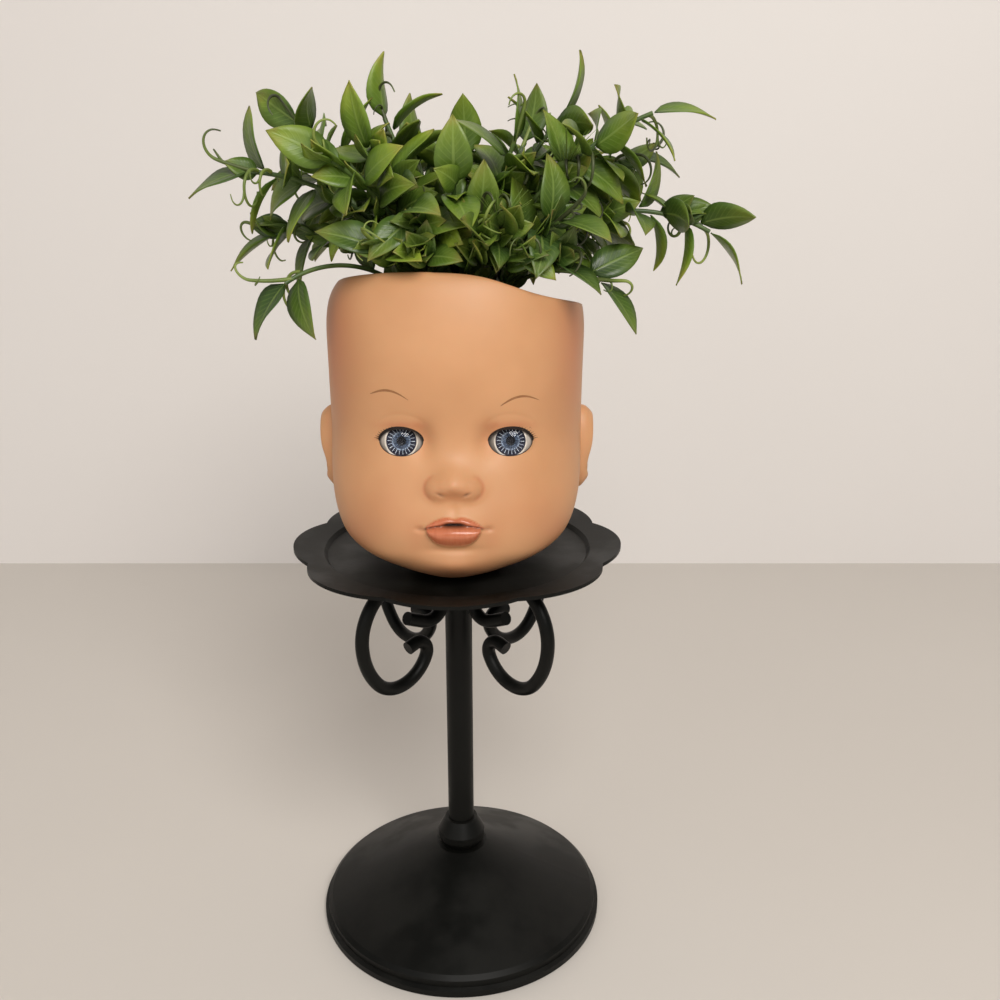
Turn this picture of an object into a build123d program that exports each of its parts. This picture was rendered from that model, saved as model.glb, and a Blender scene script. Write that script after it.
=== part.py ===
from build123d import *
import math
import os

import numpy as np

os.makedirs("parts", exist_ok=True)

# Driving dimensions in millimetres and degrees.

# Foot of the stand
FOOT_RADIUS = 66.0
FOOT_HEIGHT = 33.5
FOOT_CROWN_RADIUS = 12.0
FOOT_WALL = 1.6
FOOT_BAND_HEIGHT = 3.2
FOOT_STEP = 1.8
FOOT_RIM_HEIGHT = 9.0
FOOT_LEDGE = 10.0
FELT_THICKNESS = 2.0
FELT_PROUD = 0.4

# Post, collar and the tie rod inside the post
COLLAR_RADIUS = 11.0
COLLAR_HEIGHT = 13.0
COLLAR_WAIST = 1.4
POST_RADIUS = 6.0
POST_WALL = 1.2
POST_LENGTH = 147.5
ROD_RADIUS = 3.0
ROD_END = 3.0
NUT_ACROSS_FLATS = 10.0
NUT_HEIGHT = 5.0
WASHER_RADIUS = 9.0
WASHER_THICKNESS = 1.2

# Scalloped plate
PLATE_TIP_RADIUS = 71.0
PLATE_NOTCH_RADIUS = 66.0
PLATE_WELL_RADIUS = 56.0
PLATE_RIM_RISE = 3.6
PLATE_THICKNESS = 1.5
PLATE_LOBES = 8

# Scroll brackets, bent from one round bar each
BRACKETS = ("right_rear", "left_rear", "left_front", "right_front")
BAR_RADIUS = 2.9
SCROLL_TOP_REACH = 30.0
SCROLL_SHOULDER = 24.0
SCROLL_FLANK = 32.0
SCROLL_FLANK_TURN = 40.0
SCROLL_TOE = 15.0
SCROLL_SOLE = 17.0
SCROLL_SOLE_TURN = 65.0
SCROLL_CURL = 5.4
SCROLL_CURL_TURN = 130.0
SCROLL_TIP = 4.0
SCROLL_NECK = 17.0
SCROLL_HOOK = 7.5
SCROLL_HOOK_LIFT = 12.0
SCROLL_HOOK_TURN = 25.0
SCROLL_HOOK_TIP = 9.0

# Doll head, in its own frame: height from the chin, face towards -Y
HEAD_TILT = 10.0
HEAD_FORWARD = 4.8
HEAD_LEVEL = 175.9
HEAD_HEIGHT = 126.0
HEAD_HALF_WIDTH = 53.6
FACE_DEPTH = 54.0
SKULL_DEPTH = 60.0
HEAD_WALL = 3.0
HEAD_SQUARENESS = 2.25
RING_POINTS = 20
RIM_HEIGHT = 120.5
RIM_DIP = 8.0
RIM_LINE = ((-1.4, -0.125), (0.0, 0.06), (0.25, -0.125), (0.6, -0.8), (1.4, -1.0))
NECK_RADIUS = 19.0
NECK_HEIGHT = 22.0
GLUE_WIDTH = 3.0
GLUE_HEIGHT = 2.5

# Cross sections of the head as shares of its height, half width, face depth and skull depth
HEAD_SECTIONS = (
    (0.028, 0.150, 0.720, -0.44),
    (0.050, 0.400, 0.800, -0.13),
    (0.090, 0.655, 0.875, 0.14),
    (0.130, 0.807, 0.890, 0.40),
    (0.175, 0.894, 0.900, 0.62),
    (0.255, 0.960, 0.900, 0.80),
    (0.360, 0.988, 0.885, 0.92),
    (0.460, 0.990, 0.875, 0.98),
    (0.595, 0.992, 0.950, 1.00),
    (0.755, 1.000, 1.000, 0.98),
    (0.870, 0.992, 0.985, 0.92),
    (0.915, 0.965, 0.965, 0.885),
    (1.000, 0.800, 0.850, 0.74),
)

# Face, which looks a little to the right of the head's middle
FACE_SHIFT = 1.4
NOSE_HEIGHT = 43.5
NOSE_RADIUS = 7.2
NOSE_WIDTH = 20.0
NOSE_PROUD = 7.9
NOSE_WING = 4.7
NOSE_WING_DROP = 2.5
MOUTH_HEIGHT = 26.0
MOUTH_WIDTH = 21.0
LIP_HEIGHT = 7.0
LIP_PROUD = 3.0
LIP_SHARES = ((1, 0.9), (-1, 0.8))
EAR_HEIGHT = 52.0
EAR_LENGTH = 36.0
EAR_WIDTH = 18.0
EAR_PROUD = 7.2
EAR_BACK = 7.0

# Sleep eyes
EYE_HEIGHT = 58.0
EYE_SPACING = 42.4
EYE_RADIUS = 10.5
EYE_RECESS = 1.0
EYE_OPENING_WIDTH = 17.4
EYE_OPENING_UPPER = 7.2
EYE_OPENING_LOWER = 5.8
EYE_FLARE = 1.25
EYE_CUT_BACK = 0.75
EYE_CUT_FRONT = 1.6
IRIS_FLAT = 7.7
IRIS_THICKNESS = 0.5
LID_THICKNESS = 0.35
LID_EDGE = 29.0
LID_SWEEP = 95.0
LID_SIDE = 62.0
LASH_LENGTH = 1.6
LASH_SIDE = 22.0
LASH_THICKNESS = 0.5
AXLE_RADIUS = 1.0
SOCKET_WALL = 2.4
SOCKET_FRONT = 2.0
SOCKET_BACK = 5.0
WEIGHT_RADIUS = 4.2
WEIGHT_REACH = 16.5
WEIGHT_ANGLE = 45.0
WEIGHT_ARM_RADIUS = 1.2

# Foam block and plant
FOAM_TOP = 87.0
FOAM_SLAB = 6.5
FOAM_DEPTH = 38.0
FOAM_FRONT = 2.0
PLANT_BACK = 14.0
PICK_RADIUS = 5.0
PICK_DEPTH = 30.0
HUB_RADIUS = 12.5
HUB_HEIGHT = 7.0
STEM_RADIUS = 0.9
STEM_RISE = 84.0
STEM_RINGS = (4.0, 7.3, 10.6)
LEAF_LENGTH = 22.0
LEAF_WIDTH = 13.5
LEAF_THICKNESS = 0.5
LEAF_BEND = 28.0
LEAF_BELLY = ((0.2, 0.1), (0.26, 1.75), (0.78, 0.75))
LEAF_STALK = 1.2
LEAF_SPACING = 5.0
LEAF_BARE_STEM = 28.0
LEAF_SPREAD = 52.0
LEAF_TURN = 137.5
LEAF_GAP = 2.2
LEAF_SIZES = (1.0, 0.86, 0.72)
LEAF_ROWS = 15
LEAF_FILES = 7
LEAF_FULLNESS = 0.8
LEAF_FACING = (0.8, 0.55)
LEAF_LEAST = 3
LEAF_TRIES = (30, 60, 95, 130, 170)
STEM_SAMPLES = 80
TENDRIL_RADIUS = 0.5
TENDRIL_CURLS = (7.5, 5.5, 4.0)
TENDRIL_TURN = 200.0
TENDRIL_GAP = 1.9
TENDRIL_LEAN = 0.7
TENDRIL_FIRST = 90.0
TENDRIL_SAMPLES = 25

# Planting plan: direction seen from above, reach, rise over the hub, ring of the hub
SPRIGS = (
    (332, 36, 98, 0), (10, 58, 106, 0), (45, 55, 95, 0), (80, 28, 94, 0),
    (122, 45, 92, 0), (164, 38, 108, 0), (219, 54, 92, 0), (255, 42, 62, 0), (291, 42, 64, 0),
    (180, 78, 98, 1), (201, 100, 70, 1), (222, 76, 82, 1), (250, 60, 66, 1),
    (272, 50, 80, 1), (297, 60, 56, 1), (318, 74, 54, 1), (338, 76, 88, 1),
    (358, 97, 98, 1), (20, 98, 76, 1), (60, 75, 76, 1), (95, 72, 70, 1),
    (130, 75, 76, 1), (155, 85, 70, 1),
    (203, 84, 16, 2), (182, 90, 40, 2), (238, 68, 44, 2), (256, 64, 44, 2),
    (284, 62, 50, 2), (303, 66, 42, 2), (320, 69, 34, 2), (335, 78, 18, 2),
    (355, 118, 36, 2), (30, 90, 40, 2), (65, 82, 38, 2), (100, 85, 36, 2),
    (140, 86, 38, 2),
)
BRANCHES = ("right", "right_rear", "rear", "left_rear", "left", "front", "right_front")

# Fits and clearances
TOUCH = 0.02
SLIDE_FIT = 0.1
HOLE_FIT = 0.3
RUN_FIT = 0.05
SKIN_GAP = 0.3
EYE_GAP = 0.4

# Levels worked out from the sizes above
CROWN_UNDER = FOOT_HEIGHT - FOOT_WALL
PLATE_UNDER = FOOT_HEIGHT + POST_LENGTH
PLATE_TOP = PLATE_UNDER + PLATE_THICKNESS
ROD_HOLE = ROD_RADIUS + HOLE_FIT
UP = np.array([0.0, 0.0, 1.0])


def turned(points):
    """Solid of revolution about the Z axis from (radius, height) points."""
    outline = Plane.XZ * make_face(Polyline(*points, close=True))
    return revolve(outline, Axis.Z)


def save(name, *solids):
    """Write one node, alone or as a group of separate solids."""
    flat = [solid for item in solids for solid in item.solids()]
    shape = flat[0] if len(flat) == 1 else Compound(children=flat)
    export_step(shape, f"parts/{name}.step")


def ellipsoid(centre, radii):
    """Ball stretched to three half axes."""
    return Pos(*centre) * scale(Sphere(1.0), by=radii)


# Stand

def foot():
    band = FOOT_RADIUS - FOOT_STEP
    shoulder = band - FOOT_STEP
    inside = shoulder - FOOT_WALL
    lip = FOOT_RADIUS - FOOT_WALL
    ledge = FOOT_RADIUS - FOOT_LEDGE
    return turned([
        (FOOT_RADIUS, FELT_PROUD),
        (FOOT_RADIUS, FOOT_BAND_HEIGHT),
        (band, FOOT_BAND_HEIGHT + FOOT_STEP / 2),
        (band, FOOT_RIM_HEIGHT - FOOT_STEP),
        (shoulder, FOOT_RIM_HEIGHT),
        (FOOT_CROWN_RADIUS, FOOT_HEIGHT),
        (ROD_HOLE, FOOT_HEIGHT),
        (ROD_HOLE, CROWN_UNDER),
        (FOOT_CROWN_RADIUS, CROWN_UNDER),
        (inside, FOOT_RIM_HEIGHT - FOOT_WALL),
        (inside, FELT_THICKNESS + FOOT_WALL),
        (ledge, FELT_THICKNESS + FOOT_WALL),
        (ledge, FELT_THICKNESS),
        (lip, FELT_THICKNESS),
        (lip, FELT_PROUD),
    ])


def felt():
    return extrude(Circle(FOOT_RADIUS - FOOT_WALL - SLIDE_FIT), FELT_THICKNESS)


def collar():
    bore = POST_RADIUS + SLIDE_FIT
    return turned([
        (bore, FOOT_HEIGHT),
        (COLLAR_RADIUS - COLLAR_WAIST, FOOT_HEIGHT),
        (COLLAR_RADIUS, FOOT_HEIGHT + COLLAR_HEIGHT / 4),
        (COLLAR_RADIUS, FOOT_HEIGHT + COLLAR_HEIGHT / 2),
        (bore + COLLAR_WAIST, FOOT_HEIGHT + COLLAR_HEIGHT),
        (bore, FOOT_HEIGHT + COLLAR_HEIGHT),
    ])


def post():
    ring = Circle(POST_RADIUS) - Circle(POST_RADIUS - POST_WALL)
    return Pos(0, 0, FOOT_HEIGHT) * extrude(ring, POST_LENGTH)


def tie_rod():
    stack = WASHER_THICKNESS + NUT_HEIGHT + ROD_END
    bottom = CROWN_UNDER - stack
    top = PLATE_TOP + stack
    return Pos(0, 0, bottom) * extrude(Circle(ROD_RADIUS), top - bottom)


def washer(level):
    ring = Circle(WASHER_RADIUS) - Circle(ROD_HOLE)
    return Pos(0, 0, level) * extrude(ring, WASHER_THICKNESS)


def nut(level):
    corner = NUT_ACROSS_FLATS / math.sqrt(3)
    hexagon = RegularPolygon(corner, 6) - Circle(ROD_RADIUS + RUN_FIT)
    return Pos(0, 0, level) * extrude(hexagon, NUT_HEIGHT)


def lobed_face():
    step = 2 * math.pi / PLATE_LOBES
    edges = []
    for lobe in range(PLATE_LOBES):
        tip = lobe * step
        ends = [(PLATE_NOTCH_RADIUS * math.cos(tip + side * step / 2),
                 PLATE_NOTCH_RADIUS * math.sin(tip + side * step / 2)) for side in (-1, 1)]
        middle = (PLATE_TIP_RADIUS * math.cos(tip), PLATE_TIP_RADIUS * math.sin(tip))
        edges.append(ThreePointArc(ends[0], middle, ends[1]))
    return make_face(edges)


def plate():
    edge = PLATE_TIP_RADIUS + PLATE_THICKNESS
    step = PLATE_WELL_RADIUS + PLATE_THICKNESS
    rise = PLATE_RIM_RISE / 2
    dish = turned([
        (ROD_HOLE, PLATE_UNDER),
        (step, PLATE_UNDER),
        (step + PLATE_THICKNESS, PLATE_UNDER + rise),
        (edge, PLATE_UNDER + PLATE_RIM_RISE),
        (edge, PLATE_TOP + PLATE_RIM_RISE),
        (step, PLATE_TOP + rise),
        (PLATE_WELL_RADIUS, PLATE_TOP),
        (ROD_HOLE, PLATE_TOP),
    ])
    prism = Pos(0, 0, PLATE_UNDER) * extrude(lobed_face(), PLATE_RIM_RISE + PLATE_THICKNESS)
    return dish & prism


def bar_path(start, heading, moves):
    """Chain of straight runs (length, None) and tangent arcs (radius, turn)."""
    edges = []
    for size, turn in moves:
        if turn is None:
            edge = Line(start, (start[0] + heading.X * size, start[1] + heading.Y * size))
        else:
            edge = JernArc(start=start, tangent=(heading.X, heading.Y), radius=size, arc_size=turn)
        edges.append(edge)
        start = tuple(edge @ 1)[:2]
        heading = edge % 1
    return edges


def bracket(azimuth):
    top = (SCROLL_TOP_REACH, PLATE_UNDER - BAR_RADIUS - SLIDE_FIT)
    inner = POST_RADIUS + BAR_RADIUS + SLIDE_FIT
    outward = bar_path(top, Vector(1, 0, 0), [
        (SCROLL_SHOULDER, -90.0),
        (SCROLL_FLANK, -SCROLL_FLANK_TURN),
        (SCROLL_TOE, SCROLL_FLANK_TURN - 90.0),
        (SCROLL_SOLE, -SCROLL_SOLE_TURN),
        (SCROLL_CURL, -SCROLL_CURL_TURN),
        (SCROLL_TIP, None),
    ])
    inward = bar_path(top, Vector(-1, 0, 0), [
        (SCROLL_TOP_REACH - inner - SCROLL_NECK, None),
        (SCROLL_NECK, 90.0),
        (SCROLL_HOOK, 90.0),
        (SCROLL_HOOK_LIFT, SCROLL_HOOK_TURN),
        (SCROLL_HOOK_TIP, None),
    ])
    path = Wire(inward + outward)
    section = Plane(origin=path @ 0, z_dir=path % 0) * Circle(BAR_RADIUS)
    bar = sweep(section, path=path)
    angle = math.radians(azimuth)
    upright = Plane(origin=(0, 0, 0), x_dir=(math.cos(angle), math.sin(angle), 0),
                    z_dir=(math.sin(angle), -math.cos(angle), 0))
    return upright.location * bar


# Head

def section_at(height):
    """Half width, front and back of the head at a height, between the listed sections."""
    share = height / HEAD_HEIGHT
    columns = list(zip(*HEAD_SECTIONS))
    sizes = (HEAD_HALF_WIDTH, FACE_DEPTH, SKULL_DEPTH)
    return [size * float(np.interp(share, columns[0], column))
            for size, column in zip(sizes, columns[1:])]


def head_ring(height, half, front, back, inset):
    """Closed smooth section, squarer than an ellipse."""
    middle = (back - front) / 2
    depth = (back + front) / 2 - inset
    points = []
    for index in range(RING_POINTS):
        angle = 2 * math.pi * index / RING_POINTS
        across = math.cos(angle)
        along = math.sin(angle)
        power = 2 / HEAD_SQUARENESS
        points.append((math.copysign(abs(across) ** power, across) * (half - inset),
                       math.copysign(abs(along) ** power, along) * depth + middle, height))
    return make_face(Spline(*points, periodic=True))


def head_loft(inset, first=0):
    rings = []
    for share, half, front, back in HEAD_SECTIONS[first:]:
        rings.append(head_ring(share * HEAD_HEIGHT, half * HEAD_HALF_WIDTH,
                               front * FACE_DEPTH, back * SKULL_DEPTH, inset))
    return loft(rings)


def face_front(across, height):
    """Depth of the plain face surface, to the front of the head axis."""
    half, front, back = section_at(height)
    middle = (back - front) / 2
    depth = (back + front) / 2
    share = (1 - abs(across / half) ** HEAD_SQUARENESS) ** (1 / HEAD_SQUARENESS)
    return depth * share - middle


def features():
    """Nose, lips and ears that swell out of the plain head."""
    parts = []
    nose_front = face_front(FACE_SHIFT, NOSE_HEIGHT)
    wing = NOSE_WIDTH / 2 - NOSE_WING
    parts.append(ellipsoid((FACE_SHIFT, -nose_front, NOSE_HEIGHT), (NOSE_RADIUS, NOSE_PROUD, NOSE_RADIUS)))
    for side in (-1, 1):
        parts.append(ellipsoid((FACE_SHIFT + side * wing, -nose_front, NOSE_HEIGHT - NOSE_WING_DROP),
                               (NOSE_WING, NOSE_WING, NOSE_WING)))
    mouth_front = face_front(FACE_SHIFT, MOUTH_HEIGHT)
    for side, width in LIP_SHARES:
        parts.append(ellipsoid((FACE_SHIFT, -mouth_front, MOUTH_HEIGHT + side * LIP_HEIGHT / 2),
                               (MOUTH_WIDTH / 2 * width, LIP_PROUD, LIP_HEIGHT / 2)))
    half = section_at(EAR_HEIGHT)[0]
    for side in (-1, 1):
        ear = ellipsoid((side * half, EAR_BACK, EAR_HEIGHT), (EAR_PROUD, EAR_WIDTH / 2, EAR_LENGTH / 2))
        hollow = ellipsoid((side * (half + EAR_PROUD), EAR_BACK, EAR_HEIGHT),
                           (EAR_PROUD / 2, EAR_WIDTH / 4, EAR_LENGTH / 4))
        parts.append(ear - hollow)
    return parts


def eye_centre(side):
    across = FACE_SHIFT + side * EYE_SPACING / 2
    return (across, EYE_RECESS + EYE_RADIUS - face_front(across, EYE_HEIGHT), EYE_HEIGHT)


def almond(depth, grow):
    half = EYE_OPENING_WIDTH / 2 * grow
    upper = ThreePointArc((-half, 0), (0, EYE_OPENING_UPPER * grow), (half, 0))
    lower = ThreePointArc((half, 0), (0, -EYE_OPENING_LOWER * grow), (-half, 0))
    return Plane(origin=(0, -depth, 0), x_dir=(1, 0, 0), z_dir=(0, -1, 0)) * make_face([upper, lower])


def along_y(radius, front, back):
    """Round bar along Y from front to back."""
    return Pos(0, back, 0) * Rot(90, 0, 0) * extrude(Circle(radius), back - front)


def along_x(radius, half):
    """Round bar along X, centred."""
    return Rot(0, 90, 0) * Cylinder(radius, 2 * half)


RECESS = EYE_RADIUS + LID_THICKNESS + EYE_GAP
SOCKET_RADIUS = RECESS + SOCKET_WALL


def rim_cutter():
    """Everything above the hand-cut rim, which dips towards the right."""
    line = [(HEAD_HALF_WIDTH * across, RIM_HEIGHT + RIM_DIP * drop) for across, drop in RIM_LINE]
    high = RIM_HEIGHT + HEAD_HEIGHT
    edge = Spline(*line)
    top = Polyline(line[-1], (line[-1][0], high), (line[0][0], high), line[0])
    outline = Plane.XZ * make_face([edge, top])
    return extrude(outline, 2 * SKULL_DEPTH, both=True)


def tilt():
    return Pos(0, -HEAD_FORWARD, HEAD_LEVEL) * Rot(-HEAD_TILT, 0, 0)


def head_shell(outer, place):
    inner = head_loft(HEAD_WALL, first=1)
    skin = outer
    for part in features():
        skin = skin + part
    shell = skin - inner
    for side in (-1, 1):
        seat = Pos(*eye_centre(side))
        boss = seat * along_y(SOCKET_RADIUS, -2 * EYE_RADIUS, -SOCKET_FRONT)
        shell = shell + (boss & outer)
        opening = loft([almond(EYE_RADIUS * EYE_CUT_BACK, 1.0),
                        almond(EYE_RADIUS * EYE_CUT_FRONT, EYE_FLARE)])
        shell = shell - seat * Sphere(RECESS)
        shell = shell - seat * opening
        shell = shell - seat * along_y(SOCKET_RADIUS + SKIN_GAP, -SOCKET_FRONT, 2 * EYE_RADIUS)
    shell = shell - rim_cutter()
    neck = Pos(0, 0, PLATE_TOP) * extrude(Circle(NECK_RADIUS), NECK_HEIGHT)
    bore = Pos(0, 0, PLATE_TOP) * extrude(Circle(NECK_RADIUS - HEAD_WALL), NECK_HEIGHT + HEAD_WALL)
    shell = place * shell
    shell = shell + (neck - place * inner)
    return shell - bore


def glue_bead(head):
    bead = turned([
        (NECK_RADIUS - TOUCH, PLATE_TOP),
        (NECK_RADIUS + GLUE_WIDTH, PLATE_TOP),
        (NECK_RADIUS - TOUCH, PLATE_TOP + GLUE_HEIGHT),
    ])
    return max((bead - head).solids(), key=lambda solid: solid.volume)


# Eyes, each about its own centre

def eyeball():
    ball = Sphere(EYE_RADIUS) - along_y(EYE_RADIUS, -2 * EYE_RADIUS, -IRIS_FLAT)
    return ball - along_x(AXLE_RADIUS, 2 * EYE_RADIUS)


def iris():
    front = IRIS_FLAT + IRIS_THICKNESS
    disc = math.sqrt((EYE_RADIUS - SKIN_GAP) ** 2 - front ** 2)
    return along_y(disc, -front, -IRIS_FLAT)


def cornea():
    back = IRIS_FLAT + IRIS_THICKNESS
    return Sphere(EYE_RADIUS) & along_y(EYE_RADIUS, -2 * EYE_RADIUS, -back - TOUCH)


def ring_sector(inner, outer, half_angle):
    """Part of a flat ring in the XY plane that faces -Y."""
    start = 270 - half_angle
    arcs = [CenterArc((0, 0), radius, start, 2 * half_angle) for radius in (inner, outer)]
    sides = [Line(arcs[0] @ end, arcs[1] @ end) for end in (0, 1)]
    return make_face(arcs + sides)


def eyelid():
    inner = EYE_RADIUS + RUN_FIT
    outer = EYE_RADIUS + LID_THICKNESS
    lid = revolve(ring_sector(inner, outer, LID_SIDE), Axis.X, revolution_arc=-LID_SWEEP)
    return Rot(-LID_EDGE, 0, 0) * lid


def lashes():
    inner = EYE_RADIUS + LID_THICKNESS + RUN_FIT
    fan = extrude(ring_sector(inner, inner + LASH_LENGTH, LASH_SIDE), LASH_THICKNESS)
    return Rot(-LID_EDGE, 0, 0) * fan


def counterweight():
    arm = Pos(0, 0, EYE_RADIUS + RUN_FIT) * extrude(Circle(WEIGHT_ARM_RADIUS), WEIGHT_REACH - EYE_RADIUS)
    weight = arm + Pos(0, 0, WEIGHT_REACH) * Sphere(WEIGHT_RADIUS)
    return Rot(-90 - WEIGHT_ANGLE + HEAD_TILT, 0, 0) * weight


def socket_ring():
    ring = along_y(SOCKET_RADIUS, -SOCKET_FRONT, SOCKET_BACK) - along_y(RECESS, -SOCKET_FRONT, SOCKET_BACK)
    return ring - along_x(AXLE_RADIUS + RUN_FIT, 2 * SOCKET_RADIUS)


def axle():
    return along_x(AXLE_RADIUS, SOCKET_RADIUS - RUN_FIT)


# Foam and plant

def slab(low, high, front):
    size = 4 * HEAD_HALF_WIDTH
    return Pos(0, front + size / 2, (low + high) / 2) * Box(size, size, high - low)


def foam(place, top):
    block = place * head_loft(HEAD_WALL + SKIN_GAP, first=1)
    plug = block & slab(top - FOAM_SLAB, top, -2 * HEAD_HALF_WIDTH)
    keel = block & slab(top - FOAM_DEPTH, top - FOAM_SLAB, FOAM_FRONT)
    bore = Pos(0, PLANT_BACK, top - PICK_DEPTH) * extrude(Circle(PICK_RADIUS + SLIDE_FIT), PICK_DEPTH)
    return plug + keel - bore


def pick(top):
    return Pos(0, PLANT_BACK, 0) * turned([
        (0, top - PICK_DEPTH + SLIDE_FIT),
        (PICK_RADIUS, top - PICK_DEPTH + PICK_RADIUS),
        (PICK_RADIUS, top + TOUCH),
        (HUB_RADIUS, top + TOUCH),
        (HUB_RADIUS, top + HUB_HEIGHT),
        (0, top + HUB_HEIGHT),
    ])


class Stem:
    """One arched wire: it leaves the hub steeply and bends over to its tip."""

    def __init__(self, plan, hub_top):
        azimuth, reach, rise, ring = plan
        angle = math.radians(azimuth)
        self.out = np.array([math.cos(angle), math.sin(angle), 0.0])
        self.side = np.array([-math.sin(angle), math.cos(angle), 0.0])
        self.start = np.array([0.0, PLANT_BACK, hub_top + SLIDE_FIT * 1.5]) + self.out * STEM_RINGS[ring]
        run = reach - STEM_RINGS[ring]
        chord = math.atan2(rise, run)
        self.rise = math.radians(STEM_RISE)
        turn = 2 * (self.rise - chord)
        self.radius = math.hypot(run, rise) / (2 * math.sin(turn / 2))
        self.length = self.radius * turn - LEAF_LENGTH * LEAF_SIZES[1]

    def point(self, along):
        lean = self.rise - along / self.radius
        across = math.sin(self.rise) - math.sin(lean)
        up = math.cos(lean) - math.cos(self.rise)
        return self.start + self.radius * (self.out * across + UP * up)

    def heading(self, along):
        lean = self.rise - along / self.radius
        return self.out * math.cos(lean) + UP * math.sin(lean)

    def solid(self):
        path = ThreePointArc(tuple(self.point(0)), tuple(self.point(self.length / 2)),
                             tuple(self.point(self.length)))
        section = Plane(origin=path @ 0, z_dir=path % 0) * Circle(STEM_RADIUS)
        return sweep(section, path=path)


def unit(vector):
    return vector / np.linalg.norm(vector)


def leaf_width(share):
    """Half width of a leaf along its length, as a share of the full width."""
    return math.sin(math.pi * min(1.0, max(0.0, share)) ** LEAF_FULLNESS) / 2


def leaf_samples(base, ahead, normal, length, width):
    across = np.cross(normal, ahead)
    points = []
    for share in np.linspace(0.06, 0.98, LEAF_ROWS):
        run = share * length
        drop = LEAF_BEND - math.sqrt(LEAF_BEND ** 2 - run ** 2)
        spine = base + ahead * run - normal * drop
        for side in np.linspace(-1, 1, LEAF_FILES):
            points.append(spine + across * side * width * leaf_width(share) * 0.9)
    return np.array(points)


def nearest(points, others):
    """Smallest distance between two sets of points, or infinity where they are far apart."""
    if not len(others):
        return math.inf
    middle = points.mean(axis=0)
    close = others[np.abs(others - middle).max(axis=1) < 1.5 * LEAF_LENGTH]
    if not len(close):
        return math.inf
    gaps = points[:, None, :] - close[None, :, :]
    return math.sqrt((gaps ** 2).sum(axis=2).min())


def clear_of_head(points, rim_level):
    """True where points lie above the rim, or hang beside or behind the head."""
    dip = RIM_DIP * np.clip(points[:, 0] / HEAD_HALF_WIDTH, 0, 1)
    low = points[points[:, 2] < rim_level + LEAF_GAP - dip]
    if not len(low):
        return True
    reach = HEAD_HALF_WIDTH + EAR_PROUD + LEAF_GAP
    away = np.hypot(low[:, 0], low[:, 1] - PLANT_BACK) > reach
    beside = (np.abs(low[:, 0]) > HEAD_HALF_WIDTH) | (low[:, 1] > PLANT_BACK)
    return bool((away & beside).all())


def grow(stems, rim_level):
    """Leaves and tendrils of every stem, kept clear of each other and of the head."""
    wires = [np.array([stem.point(along) for along in np.linspace(0, stem.length, STEM_SAMPLES + 1)])
             for stem in stems]
    taken = np.zeros((0, 3))
    leaves = []
    tendrils = []
    offsets = [0.0] + [sign * turn for turn in LEAF_TRIES for sign in (1, -1)]
    for number, stem in enumerate(stems):
        others = np.concatenate([wire for index, wire in enumerate(wires) if index != number])
        count = max(LEAF_LEAST, int((stem.length - LEAF_BARE_STEM) / LEAF_SPACING) + 1)
        for index in range(count):
            along = stem.length - index * LEAF_SPACING
            ahead = stem.heading(along)
            second = np.cross(ahead, stem.side)
            placed = None
            for size in LEAF_SIZES:
                for offset in offsets:
                    roll = math.radians(index * LEAF_TURN + number * LEAF_TURN / 2 + offset)
                    spread = math.radians(LEAF_SPREAD if index else abs(offset) / 4)
                    aside = stem.side * math.cos(roll) + second * math.sin(roll)
                    way = unit(ahead * math.cos(spread) + aside * math.sin(spread))
                    facing = stem.out * LEAF_FACING[0] + UP * LEAF_FACING[1]
                    normal = facing - way * facing.dot(way)
                    if np.linalg.norm(normal) < 0.2:
                        normal = stem.side
                    normal = unit(normal)
                    seat = aside * (STEM_RADIUS + LEAF_THICKNESS) if index else way * LEAF_THICKNESS
                    base = stem.point(along) + seat
                    points = leaf_samples(base, way, normal, LEAF_LENGTH * size, LEAF_WIDTH * size)
                    if not clear_of_head(points, rim_level):
                        continue
                    if nearest(points, taken) < LEAF_GAP or nearest(points, others) < LEAF_GAP:
                        continue
                    if nearest(points[LEAF_ROWS // 3 * LEAF_FILES:], wires[number]) < LEAF_GAP:
                        continue
                    placed = (number, base, way, normal, size)
                    taken = np.concatenate([taken, points])
                    break
                if placed:
                    leaves.append(placed)
                    break
    for number, stem in enumerate(stems):
        others = np.concatenate([wire for index, wire in enumerate(wires) if index != number])
        for index, curl in enumerate(TENDRIL_CURLS):
            along = stem.length - LEAF_SPACING * (0.5 + index)
            ahead = stem.heading(along)
            second = np.cross(ahead, stem.side)
            for offset in offsets:
                roll = math.radians(TENDRIL_FIRST + (index + number) * LEAF_TURN + offset)
                aside = stem.side * math.cos(roll) + second * math.sin(roll)
                base = stem.point(along) + aside * (STEM_RADIUS + TENDRIL_RADIUS + SLIDE_FIT)
                way = unit(aside + ahead * TENDRIL_LEAN)
                bend = unit(-UP + way * way[2]) if abs(way[2]) < 0.9 else stem.out
                turns = np.radians(np.linspace(0, TENDRIL_TURN, TENDRIL_SAMPLES))
                points = np.array([base + curl * (way * math.sin(turn) + bend * (1 - math.cos(turn)))
                                   for turn in turns])
                if not clear_of_head(points, rim_level):
                    continue
                if nearest(points, taken) < TENDRIL_GAP or nearest(points, others) < TENDRIL_GAP:
                    continue
                if nearest(points[TENDRIL_SAMPLES // 5:], wires[number]) < TENDRIL_GAP:
                    continue
                tendrils.append((number, base, way, bend, curl))
                taken = np.concatenate([taken, points])
                break
    return leaves, tendrils


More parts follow.
